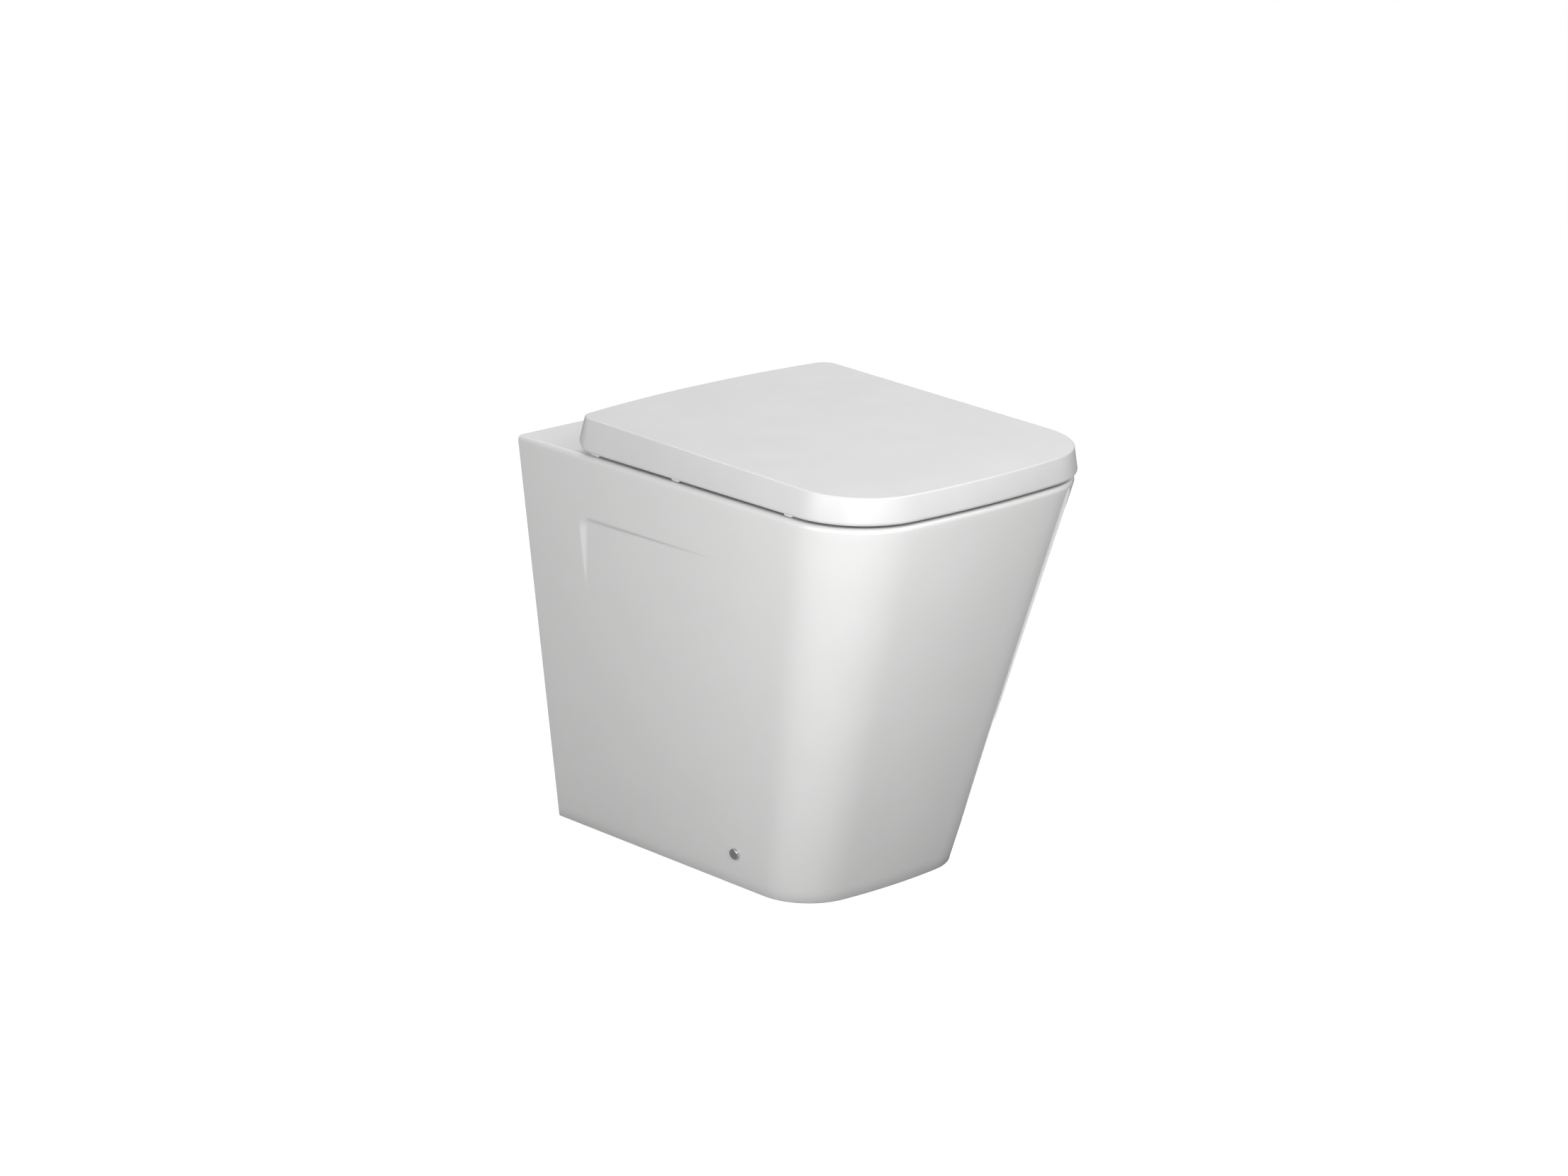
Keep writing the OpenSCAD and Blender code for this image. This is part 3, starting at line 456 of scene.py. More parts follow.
def pan_skin():
    sump_z = WATER_Z - SUMP_DEPTH
    rings = [pan_loop(0.0, FOOT_R), pan_loop(0.35 * FOOT_R, 0.35 * FOOT_R)]
    rings += [pan_loop(z) for z in SIDE_LEVELS]
    rings += [pan_loop(RIM_Z - fall, by) for by, fall in rounded(RIM_R, 8)]
    rim_support = pan_loop(RIM_Z, RIM_R + 1 * MM)
    mouth_support = mouth_loop(inset(MOUTH, -MOUTH_R - 1 * MM), RIM_Z)
    rings += [[a.lerp(b, t) for a, b in zip(rim_support, mouth_support)]
              for t in (0, 0.25, 0.5, 0.75, 1)]
    rings += [mouth_loop(inset(MOUTH, -by), RIM_Z - fall) for by, fall in rising(MOUTH_R, 7)]
    rings += [mouth_loop(bowl_square(d), RIM_Z - d)
              for d in (lerp(MOUTH_R, BOWL_DEPTH, i / 34) for i in range(1, 35))]
    rings += [mouth_loop(inset(WATER, SUMP_TAPER * t), lerp(WATER_Z, sump_z + SUMP_R, t))
              for t in (0.2, 0.4, 0.6, 0.8)]
    rings += [mouth_loop(inset(WATER, SUMP_TAPER + by), sump_z + fall)
              for by, fall in rounded(SUMP_R, 6)]
    centre = Vector((0, -(WATER.front + WATER.back) / 2, sump_z))
    rings += [[centre.lerp(p, s) for p in rings[-1]] for s in (0.6, 0.3)]
    return skin("pan_china", rings)


pan = tally(pan_skin())

# %% [markdown]
# ## The hollow and what stands in it
# Under the deck the casting is hollow and open to the floor and to the wall. The
# bowl, the trapway and the flush duct stand in that hollow. Slip-cast walls flow
# into each other, so the plain forms are melted together by a voxel remesh and
# smoothed. Only the two faces that pipes fit on stay truly round, so these are
# turned and added after the remesh.

# %% Plain forms for the hollow
def join(name, *objs):
    """Joins objects into one, without merging their walls."""
    verts, faces = [], []
    for obj in objs:
        start = len(verts)
        verts += [v.co.copy() for v in obj.data.vertices]
        faces += [tuple(start + i for i in f.vertices) for f in obj.data.polygons]
    drop(*objs)
    return mesh_object(name, verts, faces)


def melt(obj, voxel, rounds):
    """Fuses overlapping solids into one skin and softens the joints between them."""
    mod = obj.modifiers.new("melt", "REMESH")
    mod.mode, mod.voxel_size = "VOXEL", voxel
    mod = obj.modifiers.new("soften", "SMOOTH")
    mod.factor, mod.iterations = 0.5, rounds
    return bake(obj)


def at(d, h):
    """A place in the middle plane: distance from the wall and height, in millimetres."""
    return Vector((0, -d * MM, h * MM))


def pipe(a, b, r_a, r_b):
    """A round-ended length of pipe between two places."""
    length = (b - a).length
    turns = [math.radians(15 * k) for k in range(7)]
    ball = [(math.sin(t) * r_a, -math.cos(t) * r_a) for t in turns[:6]]
    cap = [(math.cos(t) * r_b, length + math.sin(t) * r_b) for t in turns]
    return turned("pipe", ball + [(r_a, 0)] + cap[:-1] + [(0, cap[-1][1])],
                  frame_of(a, b - a), 28, unit=1)


TRAP_R, TRAP_END_R = mm(29, 40)
DIP, WEIR, FALL, TURN, TRAP_END = (at(222, 136), at(163, 244), at(122, 244),
                                   at(105, 185), at(87, 185))


def trapway(out):
    r, end_r = TRAP_R + out, TRAP_END_R + out
    return [pipe(DIP, WEIR, r, r), pipe(WEIR, FALL, r, r), pipe(FALL, TURN, r, end_r),
            pipe(TURN, TRAP_END, end_r, end_r)]


def rounded_box(w, h, r):
    """A rounded rectangle's corner points, counter-clockwise about its middle."""
    corners = [(w / 2 - r, h / 2 - r, 0), (r - w / 2, h / 2 - r, 90),
               (r - w / 2, r - h / 2, 180), (w / 2 - r, r - h / 2, 270)]
    return [p for cx, cy, start in corners for p in arc(cx, cy, r, start, start + 90, 5)]


SLOT_W, SLOT_H, SLOT_R, SLOT_Z = mm(60, 20, 3, 355)


def duct(name, sections):
    """The duct's box along Y; each section is its y and how far it stands out, in mm."""
    return skin(name, [[Vector((x, y * MM, SLOT_Z + z)) for x, z in rounded_box(
        SLOT_W + 2 * out * MM, SLOT_H + 2 * out * MM, SLOT_R + out * MM)]
        for y, out in sections])


# %% The bowl's outer face, the trapway and the duct, melted together
FILLET = 8 * MM


def bowl_shell():
    sump_z = WATER_Z - SUMP_DEPTH
    rings = [outline(inset(WATER, SUMP_TAPER + by - WALL), sump_z + fall - WALL)
             for by, fall in rising(SUMP_R, 3)]
    for i in range(19):
        depth = lerp(BOWL_DEPTH, DECK_T, i / 18)
        flare = max(0.0, FILLET - (depth - DECK_T))
        out = WALL + FILLET - math.sqrt(FILLET ** 2 - flare ** 2)
        rings.append(outline(inset(bowl_square(depth), -out), RIM_Z - depth))
    return skin("bowl", rings + [[p + Vector((0, 0, 6 * MM)) for p in rings[-1]]])


innards = join("innards", bowl_shell(), *trapway(WALL), duct("duct", [(-110, 9), (-185, 9)]))
tally(melt(innards, voxel=3.5 * MM, rounds=6))

# %% The hollow itself
CAVITY_R, OPENING_R = mm(9, 14)
OPENING_TOP = RIM_Z - FLANGE_W - DECK_T


def hollow_skin():
    steps = [(z, 0) for z in mm(-1, 40, 120, 200, 280, 360)]
    steps += [(RIM_Z - DECK_T - fall, by) for by, fall in rounded(CAVITY_R, 5)]
    return skin("hollow", [outline(inset(pan_square(z), WALL + by, FLANGE_T + by)._replace(
        back_r=CAVITY_R), z) for z, by in steps])


def arch(right, foot, foot_z):
    """A flat arch of (x, z) points from one foot to the other, by its right half."""
    return [(foot, foot_z)] + right + [(-x, z) for x, z in reversed(right)] + [(-foot, foot_z)]


def rear_opening():
    """The opening toward the wall, its edge eased where it meets the wall's plane."""
    rings = []
    for y, out in ((1, 2.4), (0, 2), (-0.6, 0.9), (-2, 0), (-15, 0)):
        out *= MM
        low, high = (pan_square(z).half_w - FLANGE_W + out for z in (-1 * MM, OPENING_TOP))
        r, top = OPENING_R + out, OPENING_TOP + out
        flat = arch(arc(high - r, top - r, r, 0, 90, 6), low, -1 * MM)
        rings.append([Vector((x, y * MM, z)) for x, z in flat])
    return skin("rear_opening", rings)


def from_wall(name, profile, z):
    """A turned piece about a line square to the wall; a height is a distance from it."""
    return turned(name, profile, frame_of((0, 0, z), (0, -1, 0)), 72)


hollow = carve(hollow_skin(), rear_opening(), how="UNION")
spigot = [(0, 34), (49, 34), (50.4, 34.6), (51, 36), (51, 85), (0, 85)]
inlet_boss = [(0, 50), (34.5, 50), (35.9, 50.6), (36.5, 52), (36.5, 119), (0, 119)]
carve(hollow, innards, from_wall("spigot", spigot, OUTLET_Z),
      from_wall("inlet_boss", inlet_boss, INLET_Z))
tally(hollow)

# %% [markdown]
# ## Cutting the china
# The passages are cut last, in the order a potter would: the hollow comes from the
# mould, then the trap, the pipes' seats, the flush slot and the screw holes are
# opened. Each cut surface keeps its own finish, so the hollow stays unglazed.

# %% Tools for the openings
def hole(place, r, length):
    """A drilled hole whose near edge is eased by the glaze; r and length in mm."""
    return turned("hole", [(0, 2), (r + 0.6, 2), (r + 0.6, 0), (r + 0.18, -0.18), (r, -0.6),
                           (r, -length), (0, -length)], place, 40)


SIDE_LEAN = math.atan((RIM.half_w - FOOT.half_w) / RIM_Z)


def side_fixing(side, out=0.0):
    """A place on the pan's side fixing, with +Z pointing out of the china."""
    d, h = SIDE_FIX
    axis = Vector((side * math.cos(SIDE_LEAN), 0, -math.sin(SIDE_LEAN)))
    return frame_of(Vector((side * pan_square(h).half_w, -d, h)) + axis * out, axis)


# %% The finished china
trap = join("trap", *trapway(0), pipe(DIP, at(262, 136), TRAP_R, TRAP_R))
melt(trap, voxel=2.5 * MM, rounds=4)
outlet_bore = [(0, 30), (44, 30), (44, 34), (42.6, 34.6), (42, 36), (42, 75), (40.4, 79),
               (0, 79)]
inlet_bore = [(0, 46), (29.5, 46), (29.5, 50), (28.1, 50.6), (27.5, 52), (27.5, 110), (0, 110)]
flush_slot = [(-106, 0), (-174.6, 0), (-176.2, 1), (-177.6, 3), (-180, 7), (-196, 7)]
carve(trap, from_wall("bore", outlet_bore, OUTLET_Z), how="UNION")
inlet = carve(from_wall("inlet", inlet_bore, INLET_Z), duct("flush_duct", flush_slot),
              how="UNION")
holes = [hole(frame_of((side * HINGE_X, FIXING_Y, RIM_Z), (0, 0, 1)), 8, 20) for side in SIDES]
holes += [hole(side_fixing(side), 4.5, 13) for side in SIDES]
openings = join("openings", trap, inlet, *holes)
for piece, mat in ((pan, glaze), (hollow, clay), (openings, glaze)):
    dress(piece, mat, sharp=32)
carve(pan, hollow, openings)

# %% The bare foot
bare = [m.name for m in pan.data.materials].index(clay.name)
for face in pan.data.polygons:
    if face.center.z < 0.3 * MM and face.normal.z < -0.5:
        face.material_index = bare
tally(smooth(pan, sharp=40))
print("china finishes:", [m.name for m in pan.data.materials])

# %% [markdown]
# ## The seat ring
# The ring is pressed from one thick piece of thermoset plastic, so its section is
# a solid bar with soft edges. The outlines of its outside and of its opening
# are different soft squares, so it is a closed stack of loops: under the outside,
# over the top, down through the opening and back. The top is very slightly
# crowned, so that light rolls over it.

# %% Seat ring
RING_TOP_Z = RING_Z + RING_T
RING_EDGE_R, RING_FOOT_R, CROWN = mm(5, 2.5, 0.5)
CROWN_Z = RING_TOP_Z - CROWN


def ring_loops(s, sign):
    """Half of the ring's section, from the middle of its underside to its top edge."""
    steps = [(by, RING_Z + fall) for by, fall in rising(RING_FOOT_R, 4)]
    steps += [(0, lerp(RING_Z + RING_FOOT_R, CROWN_Z - RING_EDGE_R, t)) for t in (0.33, 0.67)]
    steps += [(by, CROWN_Z - fall) for by, fall in rounded(RING_EDGE_R, 6)]
    return [outline(inset(s, sign * by), z, corner_n=16, end_n=12, side_n=14)
            for by, z in steps]


def between(a, b, t, z):
    """A loop part of the way from one loop to another, at height z."""
    return [Vector((*p.lerp(q, t).xy, z)) for p, q in zip(a, b)]


outside, opening = ring_loops(RING_OUT, 1), ring_loops(RING_IN, -1)
crown = [between(outside[-1], opening[-1], t, RING_TOP_Z - CROWN * (2 * t - 1) ** 2)
         for t in (0.15, 0.32, 0.5, 0.68, 0.85)]
under = [between(opening[0], outside[0], t, RING_Z) for t in (0.1, 0.5, 0.9)]
seat_ring = skin("seat_ring_moulded", outside + crown + opening[::-1] + under, closed=True)
tally(seat_ring)

# %% [markdown]
# ## The lid
# The lid is a shallow moulded tray laid upside down over the ring. Its top slopes
# down toward the front and its skirt leans in a little, with a lower edge that
# sweeps up at the rear corners. One skin runs from the middle of the hollow, over
# the skirt's edge, up the outside, and over the top to its middle. The notch for
# the hinges is cut out of the rear, and four bosses come down for the arms' screws.

# %% Lid
LID_FOOT_R, LID_TOP_R, LID_INNER_R, LIP_R = mm(4, 1.5, 3, 0.5)
NOTCH_HALF_W, NOTCH_R, NOTCH_FROM, NOTCH_TO = mm(118, 4, -68, -96)
LID_ARM_TOP, LID_ARM_X, RING_ARM_X = mm(450, 93.65, 61.35)
SWEEP, SWEEP_LEN = mm(9, 26)
ARM_SCREWS = mm(119, 140)


def lid_top_z(d):
    slope = LID_RISE / (LID_HEAD.front - LID_HEAD.back)
    return LID_FOOT_Z + LID_SIDE + slope * (LID_HEAD.front - d)


def foot_sweep(d):
    """How far the skirt's lower edge sweeps up toward its rear corners."""
    return SWEEP * min(1.0, max(0.0, 1 - (d - LID_FOOT.back) / SWEEP_LEN)) ** 2


def lid_loop(s, fall=None, drop=0.0):
    """A loop at a height over the foot, or drop below the sloping top."""
    marks = [-(LID_FOOT.back + v) for v in mm(22, 24, 26, 29, 33)]
    points = outline(s, 0.0, corner_n=16, end_n=14, side_n=16, marks=marks)
    return [Vector((p.x, p.y, lid_top_z(-p.y) - drop if fall is None
                    else LID_FOOT_Z + fall + foot_sweep(-p.y))) for p in points]


def toward_middle(loop, shares):
    middle = sum(loop, Vector()) / len(loop)
    return [[middle.lerp(p, s) for p in loop] for s in shares]


def lid_skin():
    under = lid_loop(inset(LID_HEAD, LID_WALL + LID_INNER_R), drop=LID_TOP_T)
    rings = toward_middle(under, (0.05, 0.35, 0.7))
    rings += [lid_loop(inset(LID_HEAD, LID_WALL + by), drop=LID_TOP_T + fall)
              for by, fall in rising(LID_INNER_R, 4)]
    rings += [lid_loop(inset(LID_FOOT, LID_WALL), 2 * MM)]
    rings += [lid_loop(inset(LID_FOOT, LID_WALL - by), fall) for by, fall in rounded(LIP_R, 3)]
    rings += [lid_loop(inset(LID_FOOT, by), fall) for by, fall in rising(LID_FOOT_R, 6)]
    rings += [lid_loop(inset(LID_HEAD, by), drop=fall) for by, fall in rounded(LID_TOP_R, 4)]
    rings += [lid_loop(inset(LID_HEAD, LID_TOP_R + 1 * MM))]
    rings += toward_middle(rings[-1], (0.7, 0.35, 0.05))
    return skin("lid_moulded", rings)


def notch():
    """The opening in the lid's rear skirt, rounded where it meets the top."""
    r, w = NOTCH_R, NOTCH_HALF_W
    top = lid_top_z(80 * MM) - LID_TOP_T
    flat = arch(arc(w - r, top - r, r, 0, 90, 5), w, LID_FOOT_Z - 1 * MM)
    return skin("notch", [[Vector((x, y, z)) for x, z in flat] for y in (NOTCH_FROM, NOTCH_TO)])


def boss(side, d):
    top = (lid_top_z(d) - LID_ARM_TOP) / MM
    return turned("boss", [(0, 0), (5.2, 0), (6, 0.8), (6, 1.5), (7.5, top - 4), (7.5, top - 2),
                           (0, top - 2)],
                  Matrix.Translation((side * LID_ARM_X, -d, LID_ARM_TOP)), 32)


lid = carve(lid_skin(), notch())
carve(lid, join("bosses", *[boss(side, d) for side in SIDES for d in ARM_SCREWS]), how="UNION")
tally(lid)

# %% [markdown]
# ## Hinge plates and barrels
# The hinges are zinc castings and bent plates with a satin finish. Each one is a
# flat profile, seen from the side, pressed out along the axis. Its edges are
# bevelled before the barrel is joined on, because a bevel runs cleanly round a
# plain prism and not round a cut one. The bores come last. Only the right-hand
# piece is drawn, and its mirror image is turned right side out.

# %% Helpers for the hinges
def pressed(name, profile, start, stop, ease, lengthways=False):
    """A bevelled plate. Its profile is (distance from the wall, height), pressed along
    X, or if lengthways (x, height), pressed along Y; both in millimetres."""
    bm = bmesh.new()
    corners = [(a * MM, start, b * MM) if lengthways else (start, -a * MM, b * MM)
               for a, b in profile]
    face = bm.faces.new([bm.verts.new(c) for c in corners])
    moved = bmesh.ops.extrude_face_region(bm, geom=[face])["geom"]
    bmesh.ops.translate(bm, vec=(0, stop - start, 0) if lengthways else (stop - start, 0, 0),
                        verts=[g for g in moved if isinstance(g, bmesh.types.BMVert)])
    bmesh.ops.recalc_face_normals(bm, faces=bm.faces)
    bmesh.ops.bevel(bm, geom=bm.edges[:], offset=ease, segments=3, profile=0.5,
                    affect="EDGES", clamp_overlap=True)
    mesh = bpy.data.meshes.new(name)
    bm.to_mesh(mesh)
    bm.free()
    return new_object(name, mesh)


def mirror_pair(obj):
    """Adds the mirror image of a piece across x = 0, facing outwards."""
    bm = bmesh.new()
    bm.from_mesh(obj.data)
    image = bmesh.ops.duplicate(bm, geom=bm.verts[:] + bm.edges[:] + bm.faces[:])["geom"]
    for v in (g for g in image if isinstance(g, bmesh.types.BMVert)):
        v.co.x = -v.co.x
    bmesh.ops.reverse_faces(bm, faces=[g for g in image if isinstance(g, bmesh.types.BMFace)])
    bm.to_mesh(obj.data)
    bm.free()
    return obj


def on_axis(x, way=1):
    """A placement on the hinge axis, its +Z pointing right, or left for -1."""
    return frame_of(AXIS + Vector((x, 0, 0)), (way, 0, 0))


def barrel(start, stop, ease):
    """A barrel on the hinge axis with eased ends."""
    r, far = BARREL_R, stop - start
    return turned("barrel", [(0, 0), (r - ease, 0), (r - 0.3 * ease, 0.3 * ease), (r, ease),
                             (r, far - ease), (r - 0.3 * ease, far - 0.3 * ease),
                             (r - ease, far), (0, far)], on_axis(start), 56, unit=1)


def axis_bore(start, stop, r):
    """A bore on the hinge axis, countersunk at both ends."""
    far, ease, out = stop - start, 0.3 * MM, 1 * MM
    return turned("bore", [(0, -out), (r + ease, -out), (r + ease, 0), (r, ease),
                           (r, far - ease), (r + ease, far), (r + ease, far + out),
                           (0, far + out)], on_axis(start), 56, unit=1)


def bore(place, axis, r, length, ease=0.3):
    """A blind bore from a place, its mouth eased; r, length and ease in mm."""
    return turned("bore", [(0, -1), (r + ease, -1), (r + ease, 0), (r, ease), (r, length),
                           (0, length)], frame_of(place, axis), 32)


def cast(name, profile, span, bores, ease=0.7 * MM, barrel_ease=0.9 * MM):
    """A hinge casting and its mirror image: plate, barrel, then bores."""
    piece = pressed(name, profile, *span, ease)
    carve(piece, barrel(*span, barrel_ease), how="UNION")
    return dress(mirror_pair(carve(piece, *bores)), hinge_metal)


# %% Hinge posts and arms
BARREL_R, PIN_R, DAMPER_R, DAMPER_LEN = mm(7.2, 4, 6, 14)
POST_HALF, ARM_GAP, ARM_W = mm(7.3, 0.6, 16.5)
POST_Z, GRUB_Z, STUD_R = mm(423, 427.5, 3)
POST = (HINGE_X - POST_HALF, HINGE_X + POST_HALF)
RING_ARM = (POST[0] - ARM_GAP - ARM_W, POST[0] - ARM_GAP)
LID_ARM = (POST[1] + ARM_GAP, POST[1] + ARM_GAP + ARM_W)
DAMPER_BORE_LEN, DAMPER_BORE_R = DAMPER_LEN + 0.1 * MM, DAMPER_R + 0.05 * MM

hinge_posts = cast(
    "hinge_posts_cast", [(101.5, 423), (84.5, 423), (84.5, 449.6), (91.7, 449.6),
                         (101.5, 434)], POST,
    [axis_bore(*POST, PIN_R + 0.03 * MM),
     bore((HINGE_X, FIXING_Y, POST_Z), (0, 0, 1), 3.1, 9.3),
     bore((HINGE_X, -101.5 * MM, GRUB_Z), (0, 1, 0), 2.05, 9)], 1.3 * MM, 0.6 * MM)
ring_arms = cast(
    "ring_hinge_arms_cast", [(152, 424), (94.4, 424), (80, 438.8), (80, 446), (87.2, 446),
                             (105.7, 430), (105.7, 428), (152, 428)], RING_ARM,
    [axis_bore(RING_ARM[1] - DAMPER_BORE_LEN, RING_ARM[1], DAMPER_BORE_R)]
    + [bore((RING_ARM_X, -d, 424 * MM), (0, 0, 1), 2.3, 6) for d in ARM_SCREWS])
countersink = [(0, -1), (4.5, -1), (4.5, 0), (2.3, 2.6), (2.3, 5), (0, 5)]
lid_arms = cast(
    "lid_hinge_arms_cast", [(152, 446), (106, 446), (80, 442.4), (80, 450), (152, 450)],
    LID_ARM, [axis_bore(LID_ARM[0], LID_ARM[0] + DAMPER_BORE_LEN, DAMPER_BORE_R)]
    + [turned("countersink", countersink, Matrix.Translation((LID_ARM_X, -d, 446 * MM)), 32)
       for d in ARM_SCREWS])

# %% [markdown]
# ## What turns in the barrels
# A steel pin goes through each post and on into both arms. Around it, inside
# each arm, sits the soft-close damper: a nylon sleeve with two grooves for the seals
# that hold its grease.

# %% Pins and dampers
def pin(side):
    half = POST_HALF + ARM_GAP + DAMPER_LEN
    far = 2 * half / MM
    return turned("pin", [(0, 0), (3.5, 0), (4, 0.5), (4, far - 0.5), (3.5, far), (0, far)],
                  on_axis(side * HINGE_X - half), 40)


def damper(x_near, way):
    """A sleeve on the pin, with two seal grooves in its outer face."""
    outer = [(5.6, 0), (6, 0.4)]
    for z in (3.2, 9):
        outer += [(6, z), (5.5, z + 0.2), (5.5, z + 1.4), (6, z + 1.6)]
    return turned("damper", [(4.05, 0), *outer, (6, 13.6), (5.6, 14), (4.05, 14)],
                  on_axis(x_near, way))


hinge_pins = dress(join("hinge_pins_turned", pin(-1), pin(1)), steel)
ring_dampers = dress(join("ring_dampers_moulded", damper(RING_ARM[1], -1),
                          damper(-RING_ARM[1], 1)), damper_nylon)
lid_dampers = dress(join("lid_dampers_moulded", damper(LID_ARM[0], 1),
                         damper(-LID_ARM[0], -1)), damper_nylon)

# %% [markdown]
# ## Screws in rows
# Each hinge arm is held by two screws, left and right, so one screw is repeated in
# two rows. A Geometry Nodes tree does the repeating: it takes the one screw that
# its object holds and puts copies on two lines of points. The spacing of the rows
# stays a named number in the modifier, as it would in a drawing. The tree ends by
# realising the copies, because instances are lost when a model is exported.

# %% Helpers for the trees
def new_tree(name, **inputs):
    """A tree that takes and gives geometry, with named inputs for its sizes."""
    tree = bpy.data.node_groups.new(name, "GeometryNodeTree")
    for label, kind in {"Geometry": "Geometry", **inputs, "Finish": "Material"}.items():
        tree.interface.new_socket(label.replace("_", " "), in_out="INPUT",
                                  socket_type="NodeSocket" + kind)
    tree.interface.new_socket("Geometry", in_out="OUTPUT", socket_type="NodeSocketGeometry")
    return tree, tree.nodes.new("NodeGroupInput").outputs


def end_tree(tree, given, shape):
    """Ends a tree with real geometry in its finish."""
    real = add(tree, "GeometryNodeRealizeInstances", {0: shape})
    add(tree, "NodeGroupOutput", {0: add(tree, "GeometryNodeSetMaterial", {
        "Geometry": real, "Material": given["Finish"]})})
    print(tree.name, [s.name for s in tree.interface.items_tree])
    return tree


def grow(obj, tree, **values):
    """Runs a tree on an object, its inputs given by name, and keeps the plain mesh."""
    mod = obj.modifiers.new(tree.name, "NODES")
    mod.node_group = tree
    ids = {s.name: s.identifier for s in tree.interface.items_tree
           if s.item_type == "SOCKET" and s.in_out == "INPUT"}
    for name, value in values.items():
        mod[ids[name.replace("_", " ")]] = value
    return bake(obj)


# %% A tree that repeats a piece in two rows
def two_rows_tree():
    tree, given = new_tree("two_rows", Half_Span="Float", First_Row="Float",
                           Row_Step="Float", Rows="Int")
    step = add(tree, "ShaderNodeCombineXYZ", {"Y": given["Row Step"]})
    lines = []
    for side in (1, -1):
        reach = add(tree, "ShaderNodeMath", {0: given["Half Span"], 1: side},
                    operation="MULTIPLY")
        start = add(tree, "ShaderNodeCombineXYZ", {"X": reach, "Y": given["First Row"]})
        lines.append(add(tree, "GeometryNodeMeshLine", {
            "Count": given["Rows"], "Start Location": start, "Offset": step}, mode="OFFSET"))
    points = add(tree, "GeometryNodeJoinGeometry", {0: lines})
    return end_tree(tree, given, add(tree, "GeometryNodeInstanceOnPoints", {
        "Points": points, "Instance": given["Geometry"]}))


TWO_ROWS = two_rows_tree()


def in_rows(name, piece, mat, half_span=HINGE_X, first=FIXING_Y, step=0.0, rows=1):
    """Repeats a piece left and right, and dresses it."""
    piece.name = name
    grow(piece, TWO_ROWS, Half_Span=half_span, First_Row=first, Row_Step=step, Rows=rows,
         Finish=mat)
    return dress(piece, mat)


# %% [markdown]
# ## Threads
# A thread is a ridge that follows a helix, so it is grown along a curve: a second
# tree makes a spiral of the screw's own length and sweeps a small triangle along
# it. The core is turned as usual and the ridge lies half sunk in it.

# %% A tree that winds a thread
def thread_tree():
    tree, given = new_tree("thread", Radius="Float", Depth="Float", Pitch="Float",
                           Start="Float", Length="Float")
    turns = add(tree, "ShaderNodeMath", {0: given["Length"], 1: given["Pitch"]},
                operation="DIVIDE")
    spiral = add(tree, "GeometryNodeCurveSpiral", {
        "Resolution": 20, "Rotations": turns, "Start Radius": given["Radius"],
        "End Radius": given["Radius"], "Height": given["Length"]})
    profile = add(tree, "GeometryNodeCurvePrimitiveCircle", {
        "Resolution": 3, "Radius": given["Depth"]})
    ridge = add(tree, "GeometryNodeCurveToMesh", {
        "Curve": spiral, "Profile Curve": profile, "Fill Caps": True})
    lift = add(tree, "ShaderNodeCombineXYZ", {"Z": given["Start"]})
    placed = add(tree, "GeometryNodeTransform", {"Geometry": ridge, "Translation": lift})
    return end_tree(tree, given, add(tree, "GeometryNodeJoinGeometry", {
        0: [placed, given["Geometry"]]}))


THREAD, THREAD_DEPTH = thread_tree(), 0.35 * MM


def threaded(piece, core_r, pitch, start, length):
    """Winds a thread on a screw's core; all in millimetres."""
    return grow(piece, THREAD, Radius=core_r * MM, Depth=THREAD_DEPTH, Pitch=pitch * MM,
                Start=start * MM, Length=length * MM, Finish=steel)


# %% [markdown]
# ## The stack that holds each hinge
# A long stud hangs from each hinge post through the deck. From the top: a metal
# cover plate, a soft washer that keeps it off the glaze, the stud itself, and below
# the deck a rubber bush that swells in its hole when the nut is done up. All are
# turned pieces; the stud's thread and the pairs come from the two trees above.

# %% Helpers for small turned pieces
def washer(r_out, low, high, ease):
    """The section of a washer round a stud, with eased corners."""
    r_in = 3.1
    return [(r_in, low), (r_out - ease, low), (r_out, low + ease), (r_out, high - ease),
            (r_out - ease, high), (r_in + ease, high), (r_in, high - ease)]


def copies(name, obj, places):
    """One piece at several places, as one mesh."""
    made = []
    for place in places:
        made.append(new_object("copy", obj.data.copy()))
        made[-1].data.transform(place)
    drop(obj)
    return join(name, *made)


def socket_cut(r, low, high):
    """A tool for a hexagon socket."""
    return turned("socket", [(0, low), (r, low), (r, high), (0, high)], segments=6)


# %% Washers, cover plates and bushes
cover = [(3.1, 421), (13.7, 421), (14, 421.3), (14, 422.1), (13.85, 422.55),
         (13.55, 422.85), (13.1, 423), (3.1, 423)]
bush = [(3.1, 396), (10.2, 396), (11, 396.8), (11, 407.2), (10.2, 408), (7.9, 408)]
for z in (410, 413, 416):
    bush += [(7.9, z), (7.3, z + 0.5), (7.3, z + 1.2), (7.9, z + 1.7)]
bush += [(7.9, 419.2), (7.3, 420), (3.1, 420)]
gaskets = in_rows("deck_gaskets_soft", turned("gasket", washer(14, 420, 421, 0.25),
                                              segments=64), soft)
covers = in_rows("hinge_base_plates_turned", turned("cover", cover, segments=64), hinge_metal)
bushes = in_rows("expansion_bushes_moulded", turned("bush", bush), rubber)
washers = in_rows("clamp_washers_pressed", turned("washer", washer(11, 394, 396, 0.35),
                                                  segments=56), steel)

# %% Studs and nuts
stud = turned("stud", [(0, 386), (2.2, 386), (2.65, 386.6), (2.65, 431.4), (2.2, 432),
                       (0, 432)], segments=24)
studs = in_rows("hinge_studs_threaded", threaded(
    stud, core_r=2.65, pitch=1, start=387, length=44), steel)

